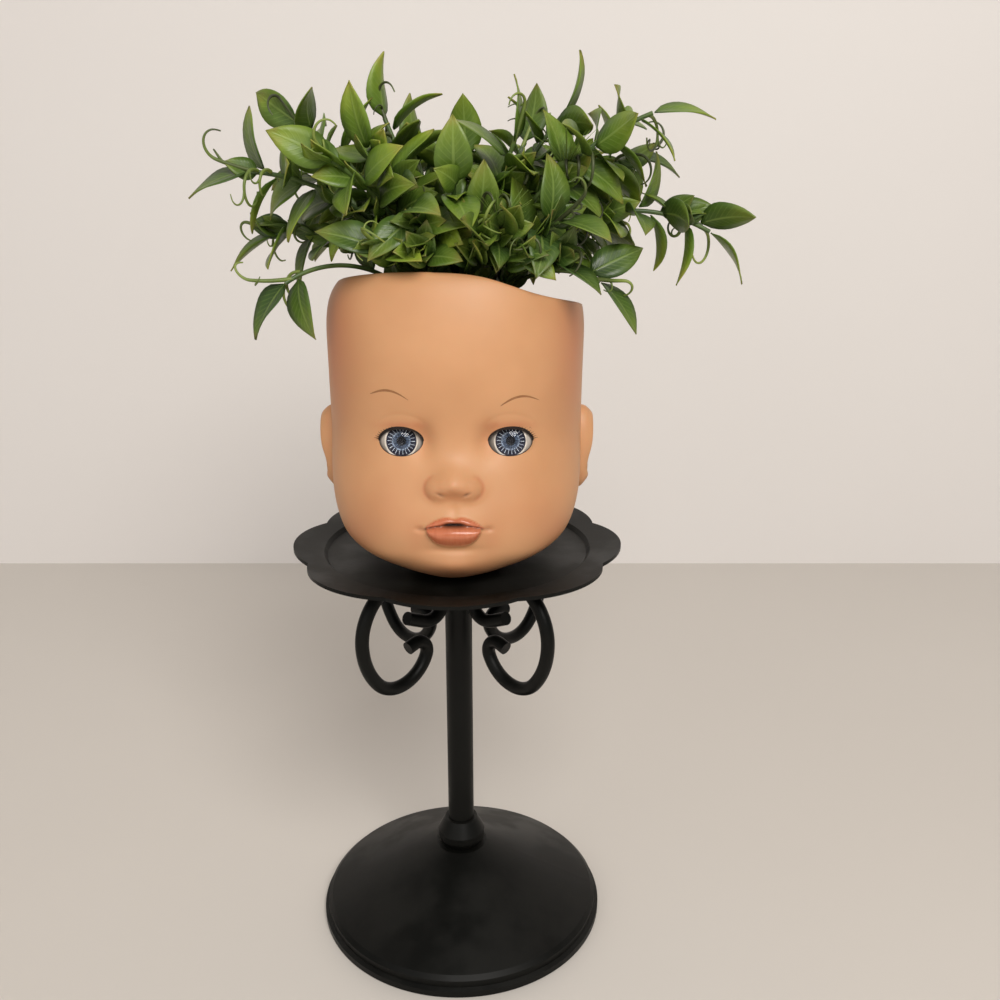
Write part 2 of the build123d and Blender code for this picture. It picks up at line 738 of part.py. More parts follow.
def leaf_solid(size):
    """Pointed leaf, bent down along its length, stalk at the origin and tip along +X."""
    length = LEAF_LENGTH * size
    half = LEAF_WIDTH * size / 2
    stalk = LEAF_STALK / 2
    belly = [(length * along, half * across) for along, across in LEAF_BELLY]
    sides = [Bezier((0, side * stalk), *[(along, side * across) for along, across in belly],
                    (length, side * stalk / 2)) for side in (1, -1)]
    ends = [Line(sides[0] @ end, sides[1] @ end) for end in (0, 1)]
    outline = make_face(sides + ends)
    prism = Pos(0, 0, -length) * extrude(outline, 2 * length)
    band = Cylinder(LEAF_BEND, 4 * half) - Cylinder(LEAF_BEND - LEAF_THICKNESS, 4 * half)
    return prism & Pos(0, 0, -LEAF_BEND) * Rot(90, 0, 0) * band


def leaf_at(solids, base, way, normal, size):
    return Plane(origin=tuple(base), x_dir=tuple(way), z_dir=tuple(normal)).location * solids[size]


def tendril_solid(base, way, bend, curl):
    turns = [math.radians(TENDRIL_TURN * share) for share in (0, 0.5, 1)]
    ends = [tuple(base + curl * (way * math.sin(turn) + bend * (1 - math.cos(turn)))) for turn in turns]
    path = ThreePointArc(*ends)
    section = Plane(origin=path @ 0, z_dir=path % 0) * Circle(TENDRIL_RADIUS)
    return sweep(section, path=path)


# Build and write every node

save("foot_shell", foot())
save("foot_felt", felt())
save("post_collar", collar())
save("post_tube", post())
save("tie_rod", tie_rod())
save("foot_washer", washer(CROWN_UNDER - WASHER_THICKNESS))
save("foot_nut", nut(CROWN_UNDER - WASHER_THICKNESS - NUT_HEIGHT))
save("plate", plate())
save("plate_washer", washer(PLATE_TOP))
save("plate_nut", nut(PLATE_TOP + WASHER_THICKNESS))
for index, name in enumerate(BRACKETS):
    save(f"bracket_{name}", bracket(45 + 90 * index))

plain_head = head_loft(0)
place = tilt()
head = head_shell(plain_head, place)
save("head_shell", head)
save("neck_glue", glue_bead(head))

for side, name in ((-1, "left"), (1, "right")):
    seat = place * Pos(*eye_centre(side))
    save(f"{name}_eye_socket", seat * socket_ring())
    save(f"{name}_eyeball", seat * eyeball())
    save(f"{name}_iris", seat * iris())
    save(f"{name}_cornea", seat * cornea())
    save(f"{name}_eyelid", seat * eyelid())
    save(f"{name}_lashes", seat * lashes())
    save(f"{name}_eye_axle", seat * axle())
    save(f"{name}_eye_weight", seat * counterweight())

foam_top = (place * Pos(0, 0, FOAM_TOP)).position.Z
hub_top = foam_top + HUB_HEIGHT
rim_level = (place * Pos(0, -FACE_DEPTH, RIM_HEIGHT)).position.Z
save("foam_block", foam(place, foam_top))
save("plant_pick", pick(foam_top))

stems = [Stem(plan, hub_top) for plan in SPRIGS]
leaves, tendrils = grow(stems, rim_level)
leaf_solids = {size: leaf_solid(size) for size in LEAF_SIZES}
sector = 360 / len(BRANCHES)
for index, name in enumerate(BRANCHES):
    chosen = [number for number, plan in enumerate(SPRIGS)
              if round(plan[0] / sector) % len(BRANCHES) == index]
    save(f"stems_{name}", *[stems[number].solid() for number in chosen])
    save(f"leaves_{name}", *[leaf_at(leaf_solids, *leaf[1:]) for leaf in leaves if leaf[0] in chosen])
    save(f"tendrils_{name}", *[tendril_solid(*curl[1:]) for curl in tendrils if curl[0] in chosen])

print("leaves", len(leaves), "tendrils", len(tendrils), "head solids", len(head.solids()))
print("head lowest", round((place * plain_head).bounding_box().min.Z - PLATE_TOP, 2), "over the plate")
print("rim level", round(rim_level, 2), "foam top", round(foam_top, 2))
for side in (-1, 1):
    print("eye centre", [round(value, 2) for value in tuple((place * Pos(*eye_centre(side))).position)])
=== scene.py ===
import math
import random

import bmesh
import bpy
import numpy as np
from mathutils import Matrix, Vector
from mathutils.kdtree import KDTree


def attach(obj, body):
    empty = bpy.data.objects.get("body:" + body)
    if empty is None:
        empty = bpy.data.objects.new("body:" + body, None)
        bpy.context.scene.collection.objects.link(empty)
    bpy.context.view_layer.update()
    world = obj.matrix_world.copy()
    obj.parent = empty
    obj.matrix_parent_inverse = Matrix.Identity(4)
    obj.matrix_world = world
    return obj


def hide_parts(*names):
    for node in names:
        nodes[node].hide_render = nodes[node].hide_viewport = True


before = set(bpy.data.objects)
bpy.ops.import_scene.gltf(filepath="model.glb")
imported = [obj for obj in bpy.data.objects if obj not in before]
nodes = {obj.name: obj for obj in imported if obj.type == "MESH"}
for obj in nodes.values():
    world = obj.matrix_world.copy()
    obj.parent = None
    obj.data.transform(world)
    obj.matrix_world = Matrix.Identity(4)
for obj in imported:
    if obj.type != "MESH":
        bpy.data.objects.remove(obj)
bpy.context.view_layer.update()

chance = random.Random(41)

# Sizes in millimetres. The head's form and the places of the eyes are those of the part's source.
MM = 0.001
HEAD_TILT = math.radians(10.0)
HEAD_FORWARD = 4.8
HEAD_LEVEL = 175.9
HEAD_WALL = 3.0
HEAD_SQUARENESS = 2.25
HEAD_SIZES = (126.0, 53.6, 54.0, 60.0)
HEAD_SECTIONS = (
    (0.028, 0.150, 0.720, -0.44),
    (0.050, 0.400, 0.800, -0.13),
    (0.090, 0.655, 0.875, 0.14),
    (0.130, 0.807, 0.890, 0.40),
    (0.175, 0.894, 0.900, 0.62),
    (0.255, 0.960, 0.900, 0.80),
    (0.360, 0.988, 0.885, 0.92),
    (0.460, 0.990, 0.875, 0.98),
    (0.595, 0.992, 0.950, 1.00),
    (0.755, 1.000, 1.000, 0.98),
    (0.870, 0.992, 0.985, 0.92),
    (0.915, 0.965, 0.965, 0.885),
    (1.000, 0.800, 0.850, 0.74),
)
RIM_HEIGHT = 120.5
RIM_DIP = 8.0
RIM_LINE = ((-1.4, -0.125), (0.0, 0.06), (0.25, -0.125), (0.6, -0.8), (1.4, -1.0))
NECK_RADIUS = 19.0
PLATE_TOP = 182.5
FACE_SHIFT = 1.4
NOSE_X = FACE_SHIFT - 0.7
MOUTH_X = FACE_SHIFT - 0.6
EAR_PROUD = 7.2
EAR_HEIGHT = 52.0
EAR_SETBACK = 7.0
EAR_HALF_SIZES = (9.0, 18.0)
EYE_X = 21.2
EYE_HEIGHT = 58.0
EYE_RADIUS = 10.5
EYE_RECESS = 1.0
EYE_HALF = 8.6
EYE_UPPER = 5.0
EYE_LOWER = 5.6
EYE_REACH = 12.0
EYE_EDGE = 1.3
EYE_FLAT = 8.2
DOME_HALF = 6.5
DOME_BACK = 8.27
IRIS_SPAN = 13.2
IRIS_SPOKES = 22.0
LID_ROOM = 0.75
LID_PROUD = 0.33
LID_THICKNESS = 0.26
BLADE_THICKNESS = 0.4

# Part of the head's half width that the fine front columns of the skin span
FRONT_SHARE = 0.86

# Angles of the lids and lashes in degrees
LID_EDGE = 29.0
LID_SWEEP = 95.0
LID_SIDE = 62.0
LASH_SIDE = 40
LASH_COUNT = 34
CORNER_LASHES = 9

# Levels of the filler leaves on the stems, and the middle of the plant
LOW_LEAVES = (284, 305)
HIGH_LEAVES = (306, 344)
PLANT_HEART = (0.0, 14.0, 270.0)

HEAD_PLACE = (Matrix.Scale(MM, 4) @ Matrix.Translation((0, -HEAD_FORWARD, HEAD_LEVEL))
              @ Matrix.Rotation(-HEAD_TILT, 4, "X"))
SCENE_PLACE = Matrix.Scale(MM, 4)


# Node helpers

def put(tree, socket, value):
    if isinstance(value, bpy.types.NodeSocket):
        tree.links.new(value, socket)
    else:
        socket.default_value = value


def add(tree, kind, options=(), **sockets):
    made = tree.nodes.new("ShaderNode" + kind)
    for key, value in dict(options).items():
        setattr(made, key, value)
    for key, value in sockets.items():
        put(tree, made.inputs[key.replace("_", " ")], value)
    return made


def mixed(tree, factor, first, second):
    made = add(tree, "Mix", {"data_type": "RGBA"})
    for index, value in ((0, factor), (6, first), (7, second)):
        put(tree, made.inputs[index], value)
    return made.outputs[2]


def sums(tree, operation, first, second=0.0):
    made = add(tree, "Math", {"operation": operation})
    put(tree, made.inputs[0], first)
    put(tree, made.inputs[1], second)
    return made.outputs[0]


def ranged(tree, value, low, high, bottom=0.0, top=1.0):
    made = add(tree, "MapRange", {"interpolation_type": "SMOOTHSTEP"}, Value=value, From_Min=low, From_Max=high,
               To_Min=bottom, To_Max=top)
    return made.outputs[0]


def ramp(tree, value, stops):
    made = add(tree, "ValToRGB", Fac=value)
    line = made.color_ramp.elements
    while len(line) < len(stops):
        line.new(0.5)
    for element, (place, colour) in zip(line, stops):
        element.position = place
        element.color = (*colour, 1.0)
    return made.outputs[0]


def attribute(tree, name):
    return add(tree, "Attribute", {"attribute_name": name}).outputs["Fac"]


def finish(name):
    material = bpy.data.materials.new(name)
    material.use_nodes = True
    return material, material.node_tree, material.node_tree.nodes["Principled BSDF"]


def rgb(red, green, blue):
    return (red, green, blue, 1.0)


def surface_grain():
    """Shared effect: slow patches of tone and a fine height."""
    group = bpy.data.node_groups.new("surface_grain", "ShaderNodeTree")
    for name, kind in (("Position", "Vector"), ("Broad", "Float"), ("Fine", "Float")):
        group.interface.new_socket(name, in_out="INPUT", socket_type="NodeSocket" + kind)
    for name in ("Patch", "Height"):
        group.interface.new_socket(name, in_out="OUTPUT", socket_type="NodeSocketFloat")
    enter = group.nodes.new("NodeGroupInput").outputs
    leave = group.nodes.new("NodeGroupOutput").inputs
    broad = add(group, "TexNoise", Vector=enter["Position"], Scale=enter["Broad"], Detail=3.0)
    fine = add(group, "TexNoise", Vector=enter["Position"], Scale=enter["Fine"], Detail=2.0)
    put(group, leave["Patch"], ranged(group, broad.outputs[0], 0.3, 0.7))
    put(group, leave["Height"], fine.outputs[0])
    return group


GRAIN = surface_grain()


def grain(tree, broad, fine):
    made = add(tree, "Group", {"node_tree": GRAIN}, Position=add(tree, "TexCoord").outputs["Object"],
               Broad=broad, Fine=fine)
    return made.outputs["Patch"], made.outputs["Height"]


def bumped(tree, shader, height, strength, distance):
    put(tree, shader.inputs["Normal"],
        add(tree, "Bump", Strength=strength, Distance=distance, Height=height).outputs[0])


def see_through(tree, shader, share):
    """Leave the surface out where the share is 1."""
    through = add(tree, "MixShader")
    put(tree, through.inputs[0], share)
    put(tree, through.inputs[1], shader.outputs[0])
    put(tree, through.inputs[2], add(tree, "BsdfTransparent").outputs[0])
    put(tree, tree.nodes["Material Output"].inputs["Surface"], through.outputs[0])


# Finishes

def enamel():
    material, tree, shader = finish("black_enamel_brushed_on")
    patch, height = grain(tree, 45.0, 900.0)
    facing = add(tree, "SeparateXYZ", Vector=add(tree, "NewGeometry").outputs["Normal"]).outputs[2]
    # Painted reflection: faces that point upwards are mixed in patches towards dull grey, standing in for reflected
    # room light on the tops.
    painted_top_sheen = sums(tree, "MULTIPLY", ranged(tree, facing, 0.6, 1.0), ranged(tree, patch, 0.0, 1.0, 0.03, 0.13))
    tone = mixed(tree, patch, rgb(0.0022, 0.0024, 0.0019), rgb(0.0046, 0.0047, 0.0038))
    put(tree, shader.inputs["Base Color"], mixed(tree, painted_top_sheen, tone, rgb(0.036, 0.034, 0.030)))
    put(tree, shader.inputs["Roughness"], ranged(tree, patch, 0.0, 1.0, 0.36, 0.50))
    shader.inputs["Specular IOR Level"].default_value = 0.16
    bumped(tree, shader, height, 0.10, 0.0003)
    return material


def vinyl():
    material, tree, shader = finish("peach_vinyl")
    patch, height = grain(tree, 28.0, 1500.0)
    lip = attribute(tree, "lip")
    place = add(tree, "TexCoord").outputs["Object"]
    streaks = add(tree, "TexNoise", Vector=add(tree, "Mapping", Vector=place, Scale=(900, 300, 60)).outputs[0],
                  Scale=1.0, Detail=2.0).outputs[0]
    tone = mixed(tree, patch, rgb(0.600, 0.301, 0.140), rgb(0.655, 0.337, 0.162))
    # Real blush paint on cheeks, nose and chin, and painted shade at the eyelids, inner eye corners, mouth corners,
    # nose-wing creases, jaw and sides of the forehead.
    tone = mixed(tree, attribute(tree, "blush_and_shade"), tone, rgb(0.540, 0.195, 0.088))
    paint = mixed(tree, streaks, rgb(0.48, 0.125, 0.054), rgb(0.64, 0.225, 0.112))
    tone = mixed(tree, lip, tone, paint)
    # Dark mark: real painted lash lines round the eye openings, and painted shade in the mouth gap, along the mouth
    # line, at the mouth corners and in the nostrils.
    put(tree, shader.inputs["Base Color"],
        mixed(tree, attribute(tree, "liner_and_shade"), tone, rgb(0.045, 0.016, 0.010)))
    put(tree, shader.inputs["Roughness"], sums(tree, "SUBTRACT", ranged(tree, patch, 0.0, 1.0, 0.47, 0.55),
                                               sums(tree, "MULTIPLY", lip, 0.26)))
    shader.inputs["Subsurface Weight"].default_value = 0.12
    shader.inputs["Subsurface Scale"].default_value = 0.004
    bumped(tree, shader, sums(tree, "ADD", height, sums(tree, "MULTIPLY", sums(tree, "MULTIPLY", streaks, lip), 4.0)),
           0.06, 0.0002)
    return material


def plain_finish(name, first, second, rough, broad=60.0, fine=1500.0, metal=0.0, span=0.12, bump=(0.08, 0.0002)):
    material, tree, shader = finish(name)
    patch, height = grain(tree, broad, fine)
    put(tree, shader.inputs["Base Color"], mixed(tree, patch, rgb(*first), rgb(*second)))
    put(tree, shader.inputs["Roughness"], ranged(tree, patch, 0.0, 1.0, rough, rough + span))
    shader.inputs["Metallic"].default_value = metal
    bumped(tree, shader, height, *bump)
    return material


def iris_print():
    """Rings and spokes around the middle of the piece's own UV map, with radii in millimetres."""
    material, tree, shader = finish("iris_print")
    centred = add(tree, "VectorMath", {"operation": "SUBTRACT"})
    put(tree, centred.inputs[0], add(tree, "UVMap", {"uv_map": "disc"}).outputs[0])
    centred.inputs[1].default_value = (0.5, 0.5, 0.0)
    parts = add(tree, "SeparateXYZ", Vector=centred.outputs[0]).outputs
    length = add(tree, "VectorMath", {"operation": "LENGTH"})
    put(tree, length.inputs[0], centred.outputs[0])
    away = sums(tree, "MULTIPLY", length.outputs["Value"], IRIS_SPAN)
    angle = sums(tree, "ARCTAN2", parts[1], parts[0])
    fibres = add(tree, "TexNoise", {"noise_dimensions": "2D"}, Scale=1.0, Detail=3.0,
                 Vector=add(tree, "CombineXYZ", X=sums(tree, "MULTIPLY", angle, 9.0),
                            Y=sums(tree, "MULTIPLY", away, 0.7)).outputs[0]).outputs[0]
    spoke = sums(tree, "COSINE", sums(tree, "ADD", sums(tree, "MULTIPLY", angle, IRIS_SPOKES),
                                      sums(tree, "MULTIPLY", fibres, 1.4)))
    spoke = sums(tree, "MULTIPLY", ranged(tree, spoke, 0.87, 1.0),
                 sums(tree, "MULTIPLY", ranged(tree, away, 3.3, 3.8), ranged(tree, away, 5.4, 4.9)))
    inner = mixed(tree, ranged(tree, fibres, 0.35, 0.65), rgb(0.009, 0.016, 0.034), rgb(0.045, 0.066, 0.106))
    tone = mixed(tree, ranged(tree, away, 3.3, 3.8), inner, rgb(0.005, 0.006, 0.016))
    tone = mixed(tree, spoke, tone, rgb(0.50, 0.54, 0.60))
    ring = sums(tree, "MULTIPLY", ranged(tree, away, 2.8, 3.1), ranged(tree, away, 3.6, 3.3))
    tone = mixed(tree, sums(tree, "MULTIPLY", ring, ranged(tree, fibres, 0.4, 0.6, 0.05, 0.4)), tone,
                 rgb(0.42, 0.50, 0.62))
    tone = mixed(tree, ranged(tree, away, 1.95, 1.6), tone, rgb(0.004, 0.004, 0.006))
    put(tree, shader.inputs["Base Color"], mixed(tree, ranged(tree, away, 5.7, 5.9), tone, rgb(0.48, 0.425, 0.37)))
    put(tree, shader.inputs["Roughness"], ranged(tree, fibres, 0.2, 0.8, 0.5, 0.65))
    shader.inputs["Specular IOR Level"].default_value = 0.1
    bumped(tree, shader, fibres, 0.1, 0.0002)
    return material


def clear_dome():
    """Clear plastic that lets lamp light through to the print behind it."""
    material, tree, shader = finish("clear_dome")
    patch, height = grain(tree, 120.0, 400.0)
    put(tree, shader.inputs["Roughness"], ranged(tree, patch, 0.0, 1.0, 0.0, 0.01))
    shader.inputs["Base Color"].default_value = rgb(1.0, 1.0, 1.0)
    shader.inputs["Transmission Weight"].default_value = 1.0
    shader.inputs["IOR"].default_value = 1.34
    see_through(tree, shader, add(tree, "LightPath").outputs["Is Shadow Ray"])
    return material


def leaf_plastic():
    """Green that runs to yellow at the tip, with a pale midrib and side veins on the leaf's own UV map."""
    material, tree, shader = finish("leaf_plastic")
    patch, height = grain(tree, 120.0, 1200.0)
    flat = add(tree, "SeparateXYZ", Vector=add(tree, "UVMap", {"uv_map": "leaf"}).outputs[0]).outputs
    tint_and_shade = attribute(tree, "tint_and_shade")
    aside = sums(tree, "ABSOLUTE", sums(tree, "SUBTRACT", flat[1], 0.5))
    along = sums(tree, "ADD", flat[0], sums(tree, "MULTIPLY", sums(tree, "SUBTRACT", patch, 0.5), 0.25))
    light_and_lit_leaf = ramp(tree, along, ((0.0, (0.062, 0.125, 0.012)), (0.45, (0.135, 0.224, 0.018)),
                               (0.8, (0.240, 0.325, 0.028)), (1.0, (0.315, 0.310, 0.042))))
    dark_and_shaded_leaf = ramp(tree, along, ((0.0, (0.021, 0.047, 0.008)), (0.5, (0.042, 0.088, 0.013)),
                             (0.85, (0.086, 0.140, 0.018)), (1.0, (0.130, 0.140, 0.026))))
    # Painted light and shade: the tint runs from the dark ramp to the light ramp, partly at random from leaf to leaf
    # and partly with height, so lower and inner leaves are darker and upper leaves lighter.
    tone = mixed(tree, tint_and_shade, dark_and_shaded_leaf, light_and_lit_leaf)
    veins = sums(tree, "SINE", sums(tree, "MULTIPLY", sums(tree, "SUBTRACT", flat[0],
                                                           sums(tree, "MULTIPLY", aside, 0.55)), 62.0))
    veins = sums(tree, "MULTIPLY", ranged(tree, veins, 0.55, 1.0), ranged(tree, aside, 0.5, 0.3))
    rib = ranged(tree, aside, 0.055, 0.015)
    lines = sums(tree, "MAXIMUM", rib, sums(tree, "MULTIPLY", veins, 0.35))
    tone = mixed(tree, sums(tree, "MULTIPLY", lines, 0.45), tone, rgb(0.260, 0.360, 0.080))
    blotch = ranged(tree, add(tree, "TexNoise", Vector=add(tree, "TexCoord").outputs["Object"], Scale=75.0,
                              Detail=2.0).outputs[0], 0.62, 0.75)
    tipped = sums(tree, "MULTIPLY", blotch, ranged(tree, flat[0], 0.75, 1.0))
    put(tree, shader.inputs["Base Color"], mixed(tree, tipped, tone, rgb(0.200, 0.085, 0.040)))
    put(tree, shader.inputs["Roughness"], ranged(tree, patch, 0.0, 1.0, 0.36, 0.52))
    bumped(tree, shader, sums(tree, "ADD", lines, sums(tree, "MULTIPLY", height, 0.3)), 0.35, 0.0003)
    return material


def tendril_plastic():
    material, tree, shader = finish("tendril_plastic")
    patch, height = grain(tree, 22.0, 900.0)
    put(tree, shader.inputs["Base Color"],
        ramp(tree, patch, ((0.0, (0.034, 0.036, 0.018)), (0.3, (0.070, 0.090, 0.026)),
                           (0.6, (0.150, 0.210, 0.038)), (1.0, (0.290, 0.350, 0.070)))))
    put(tree, shader.inputs["Roughness"], ranged(tree, height, 0.2, 0.8, 0.38, 0.55))
    bumped(tree, shader, height, 0.15, 0.0002)
    return material


def foam():
    material, tree, shader = finish("dry_foam")
    patch, height = grain(tree, 90.0, 600.0)
    cells = add(tree, "TexVoronoi", Vector=add(tree, "TexCoord").outputs["Object"], Scale=900.0).outputs[0]
    put(tree, shader.inputs["Base Color"], mixed(tree, patch, rgb(0.035, 0.050, 0.020), rgb(0.060, 0.080, 0.034)))
    put(tree, shader.inputs["Roughness"], ranged(tree, height, 0.2, 0.8, 0.85, 0.98))
    bumped(tree, shader, cells, 0.7, 0.0008)
    return material


ENAMEL = enamel()
VINYL = vinyl()
LEAF = leaf_plastic()
TENDRIL = tendril_plastic()
GRASS = plain_finish("grass_plastic", (0.120, 0.200, 0.035), (0.230, 0.330, 0.060), 0.45, broad=90.0)
STEM = plain_finish("stem_plastic", (0.045, 0.085, 0.020), (0.105, 0.165, 0.036), 0.42, broad=70.0)
LID = plain_finish("lid_plastic", (0.36, 0.140, 0.075), (0.42, 0.175, 0.095), 0.4)
LASH = plain_finish("lash_bristle", (0.010, 0.005, 0.003), (0.018, 0.009, 0.006), 0.75)
BROW = plain_finish("brow_paint", (0.30, 0.125, 0.045), (0.36, 0.165, 0.065), 0.45, broad=300.0)
ZINC = plain_finish("zinc_steel", (0.42, 0.42, 0.43), (0.55, 0.55, 0.56), 0.32, broad=160.0, metal=1.0)
FELT = plain_finish("black_felt", (0.012, 0.012, 0.012), (0.026, 0.025, 0.024), 0.86, broad=200.0, fine=2500.0)
GLUE = plain_finish("clear_glue", (0.36, 0.33, 0.27), (0.46, 0.42, 0.35), 0.22, broad=150.0)
SOCKET = plain_finish("socket_plastic", (0.38, 0.36, 0.33), (0.46, 0.44, 0.40), 0.45)
WEIGHT = plain_finish("weight_metal", (0.20, 0.20, 0.21), (0.30, 0.30, 0.31), 0.5, metal=1.0)
FOAM = foam()
EYE_WHITE = plain_finish("eye_white_plastic", (0.46, 0.405, 0.35), (0.54, 0.485, 0.43), 0.12, broad=140.0,
                         fine=700.0, span=0.08, bump=(0.02, 0.0001))
IRIS = iris_print()
DOME = clear_dome()


# Piece helpers

def show(name, bm, body, material, replaced=(), flat=False):
    """Turn a finished bmesh into a piece that rides on a body."""
    mesh = bpy.data.meshes.new(name)
    bm.to_mesh(mesh)
    bm.free()
    for polygon in mesh.polygons:
        polygon.use_smooth = not flat
    return carry(bpy.data.objects.new(name, mesh), body, material, replaced)


def carry(piece, body, material, replaced):
    piece.data.materials.append(material)
    bpy.context.scene.collection.objects.link(piece)
    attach(piece, body)
    if replaced:
        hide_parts(*replaced)
    return piece


def named(start):
    return [name for name in sorted(nodes) if name.startswith(start)]


def dress(material, *names):
    for name in names:
        for slot in nodes[name].material_slots:
            slot.material = material


def sheet_grid(bm, columns, rows, uv=False):
    """Flat grid from an operator, with each vertex and its two shares from 0 to 1."""
    made = bmesh.ops.create_grid(bm, x_segments=columns, y_segments=rows, size=1.0, calc_uvs=uv)
    return [(vert, (vert.co.x + 1) / 2, (vert.co.y + 1) / 2) for vert in made["verts"]]


def spun(bm, points, steps, axis):
    """Turn a chain of points once around an axis."""
    chain = [bm.verts.new(point) for point in points]
    edges = [bm.edges.new(pair) for pair in zip(chain, chain[1:])]
    bmesh.ops.spin(bm, geom=chain + edges, cent=(0, 0, 0), axis=axis, dvec=(0, 0, 0), angle=2 * math.pi,
                   steps=steps, use_merge=True)
    bmesh.ops.remove_doubles(bm, verts=bm.verts, dist=0.001)
    bmesh.ops.recalc_face_normals(bm, faces=bm.faces)


def bristle(bm, root, way, length, thick, thin):
    bmesh.ops.create_cone(bm, segments=5, radius1=thick, radius2=thin, depth=length, cap_ends=True,
                          matrix=Matrix.Translation(root + way * length / 2)
                          @ way.to_track_quat("Z", "Y").to_matrix().to_4x4())


def clamped(value):
    return min(1.0, max(0.0, value))


def unit(way):
    return way / np.linalg.norm(way)


# Head form

def smooth_rows(rows, count):
    """Rows of sizes joined by a natural cubic curve and sampled evenly along it."""
    rows = np.array(rows, float)
    steps = np.linalg.norm(np.diff(rows, axis=0), axis=1)
    knots = np.concatenate([[0.0], np.cumsum(steps)])
    last = len(knots) - 1
    system = np.eye(len(knots))
    right = np.zeros_like(rows)
    for at in range(1, last):
        before, after = steps[at - 1], steps[at]
        system[at, at - 1:at + 2] = before, 2 * (before + after), after
        right[at] = 6 * ((rows[at + 1] - rows[at]) / after - (rows[at] - rows[at - 1]) / before)
    bend = np.linalg.solve(system, right)
    line = np.linspace(0, knots[-1], count)
    part = np.clip(np.searchsorted(knots, line, side="right") - 1, 0, last - 1)
    size = steps[part][:, None]
    ahead = (knots[part + 1] - line)[:, None]
    behind = (line - knots[part])[:, None]
    return ((bend[part] * ahead ** 3 + bend[part + 1] * behind ** 3) / (6 * size)
            + (rows[part] / size - bend[part] * size / 6) * ahead
            + (rows[part + 1] / size - bend[part + 1] * size / 6) * behind)


SECTIONS = np.array(HEAD_SECTIONS) * np.array(HEAD_SIZES)
PROFILE = smooth_rows(SECTIONS, 900)
RIM = smooth_rows([(across * HEAD_SIZES[1], RIM_HEIGHT + drop * RIM_DIP) for across, drop in RIM_LINE], 200)


def size_at(height, rows=PROFILE):
    """Half width, front and back of the head at a height."""
    return [np.interp(height, rows[:, 0], rows[:, column]) for column in (1, 2, 3)]


def plain_front(across, height, rows=PROFILE):
    """Depth of the plain face in front of the head axis."""
    half, front, back = size_at(height, rows)
    share = np.clip(1 - np.abs(across / half) ** HEAD_SQUARENESS, 0, 1) ** (1 / HEAD_SQUARENESS)
    return (back + front) / 2 * share - (back - front) / 2


def hill(across, height, x, h, wide, high):
    return np.exp(-((across - x) / wide) ** 2 - ((height - h) / high) ** 2)


def twin(across, height, x, h, wide, high):
    return hill(np.abs(across), height, x, h, wide, high)


def soft_max(first, second, soft):
    """Larger of two heights, with a rounded valley where they meet."""
    soft = soft * np.clip(np.maximum(first, second) / soft, 0.02, 1)
    near = np.clip(soft - np.abs(first - second), 0, None) / soft
    return np.maximum(first, second) + near ** 2 * soft / 4


def mouth_lines(across):
    """Top of the upper lip, mouth line and bottom of the lower lip."""
    wide = np.clip(np.abs(across) / 11.8, 0, 1)
    line = 24.7 + 1.6 * (1 - wide ** 2)
    top = line + (3.7 - 0.9 * np.exp(-(across / 2.2) ** 2)) * (1 - wide ** 2.4) ** 0.95
    low = line - 8.8 * np.clip(1 - (wide * 1.12) ** 2.6, 0, 1) ** 0.6
    return top, line, low


def lip_parts(across, height):
    """How far a point lies within the upper and the lower lip, from 0 to 1 and back to 0."""
    top, line, low = mouth_lines(across)
    upper = np.clip((height - line) / np.maximum(top - line, 0.2), 0, 1)
    lower = np.clip((line - height) / np.maximum(line - low, 0.2), 0, 1)
    fade = np.clip((12.0 - np.abs(across)) / 1.6, 0, 1)
    return upper, lower, fade


def nostril(across, height):
    """Short slanted mark on each side under the tip of the nose."""
    out = np.abs(across) - 5.1
    return np.exp(-((height - 38.3 - 0.35 * out) / 0.55) ** 2 - (out / 1.4) ** 2)


def wing_away(nose, height):
    """Distance from the middle of the nearer wing of the nose, 1 at its edge."""
    return np.hypot((np.abs(nose) - 5.6) / 5.3, (height - 40.4) / 4.6)


def wing_crease(nose, height):
    """Curved line round the outer edge of each wing of the nose."""
    away = wing_away(nose, height)
    return np.exp(-((away - 1.1) / 0.15) ** 2) * np.clip((np.abs(nose) - 7.0) / 2.5, 0, 1)


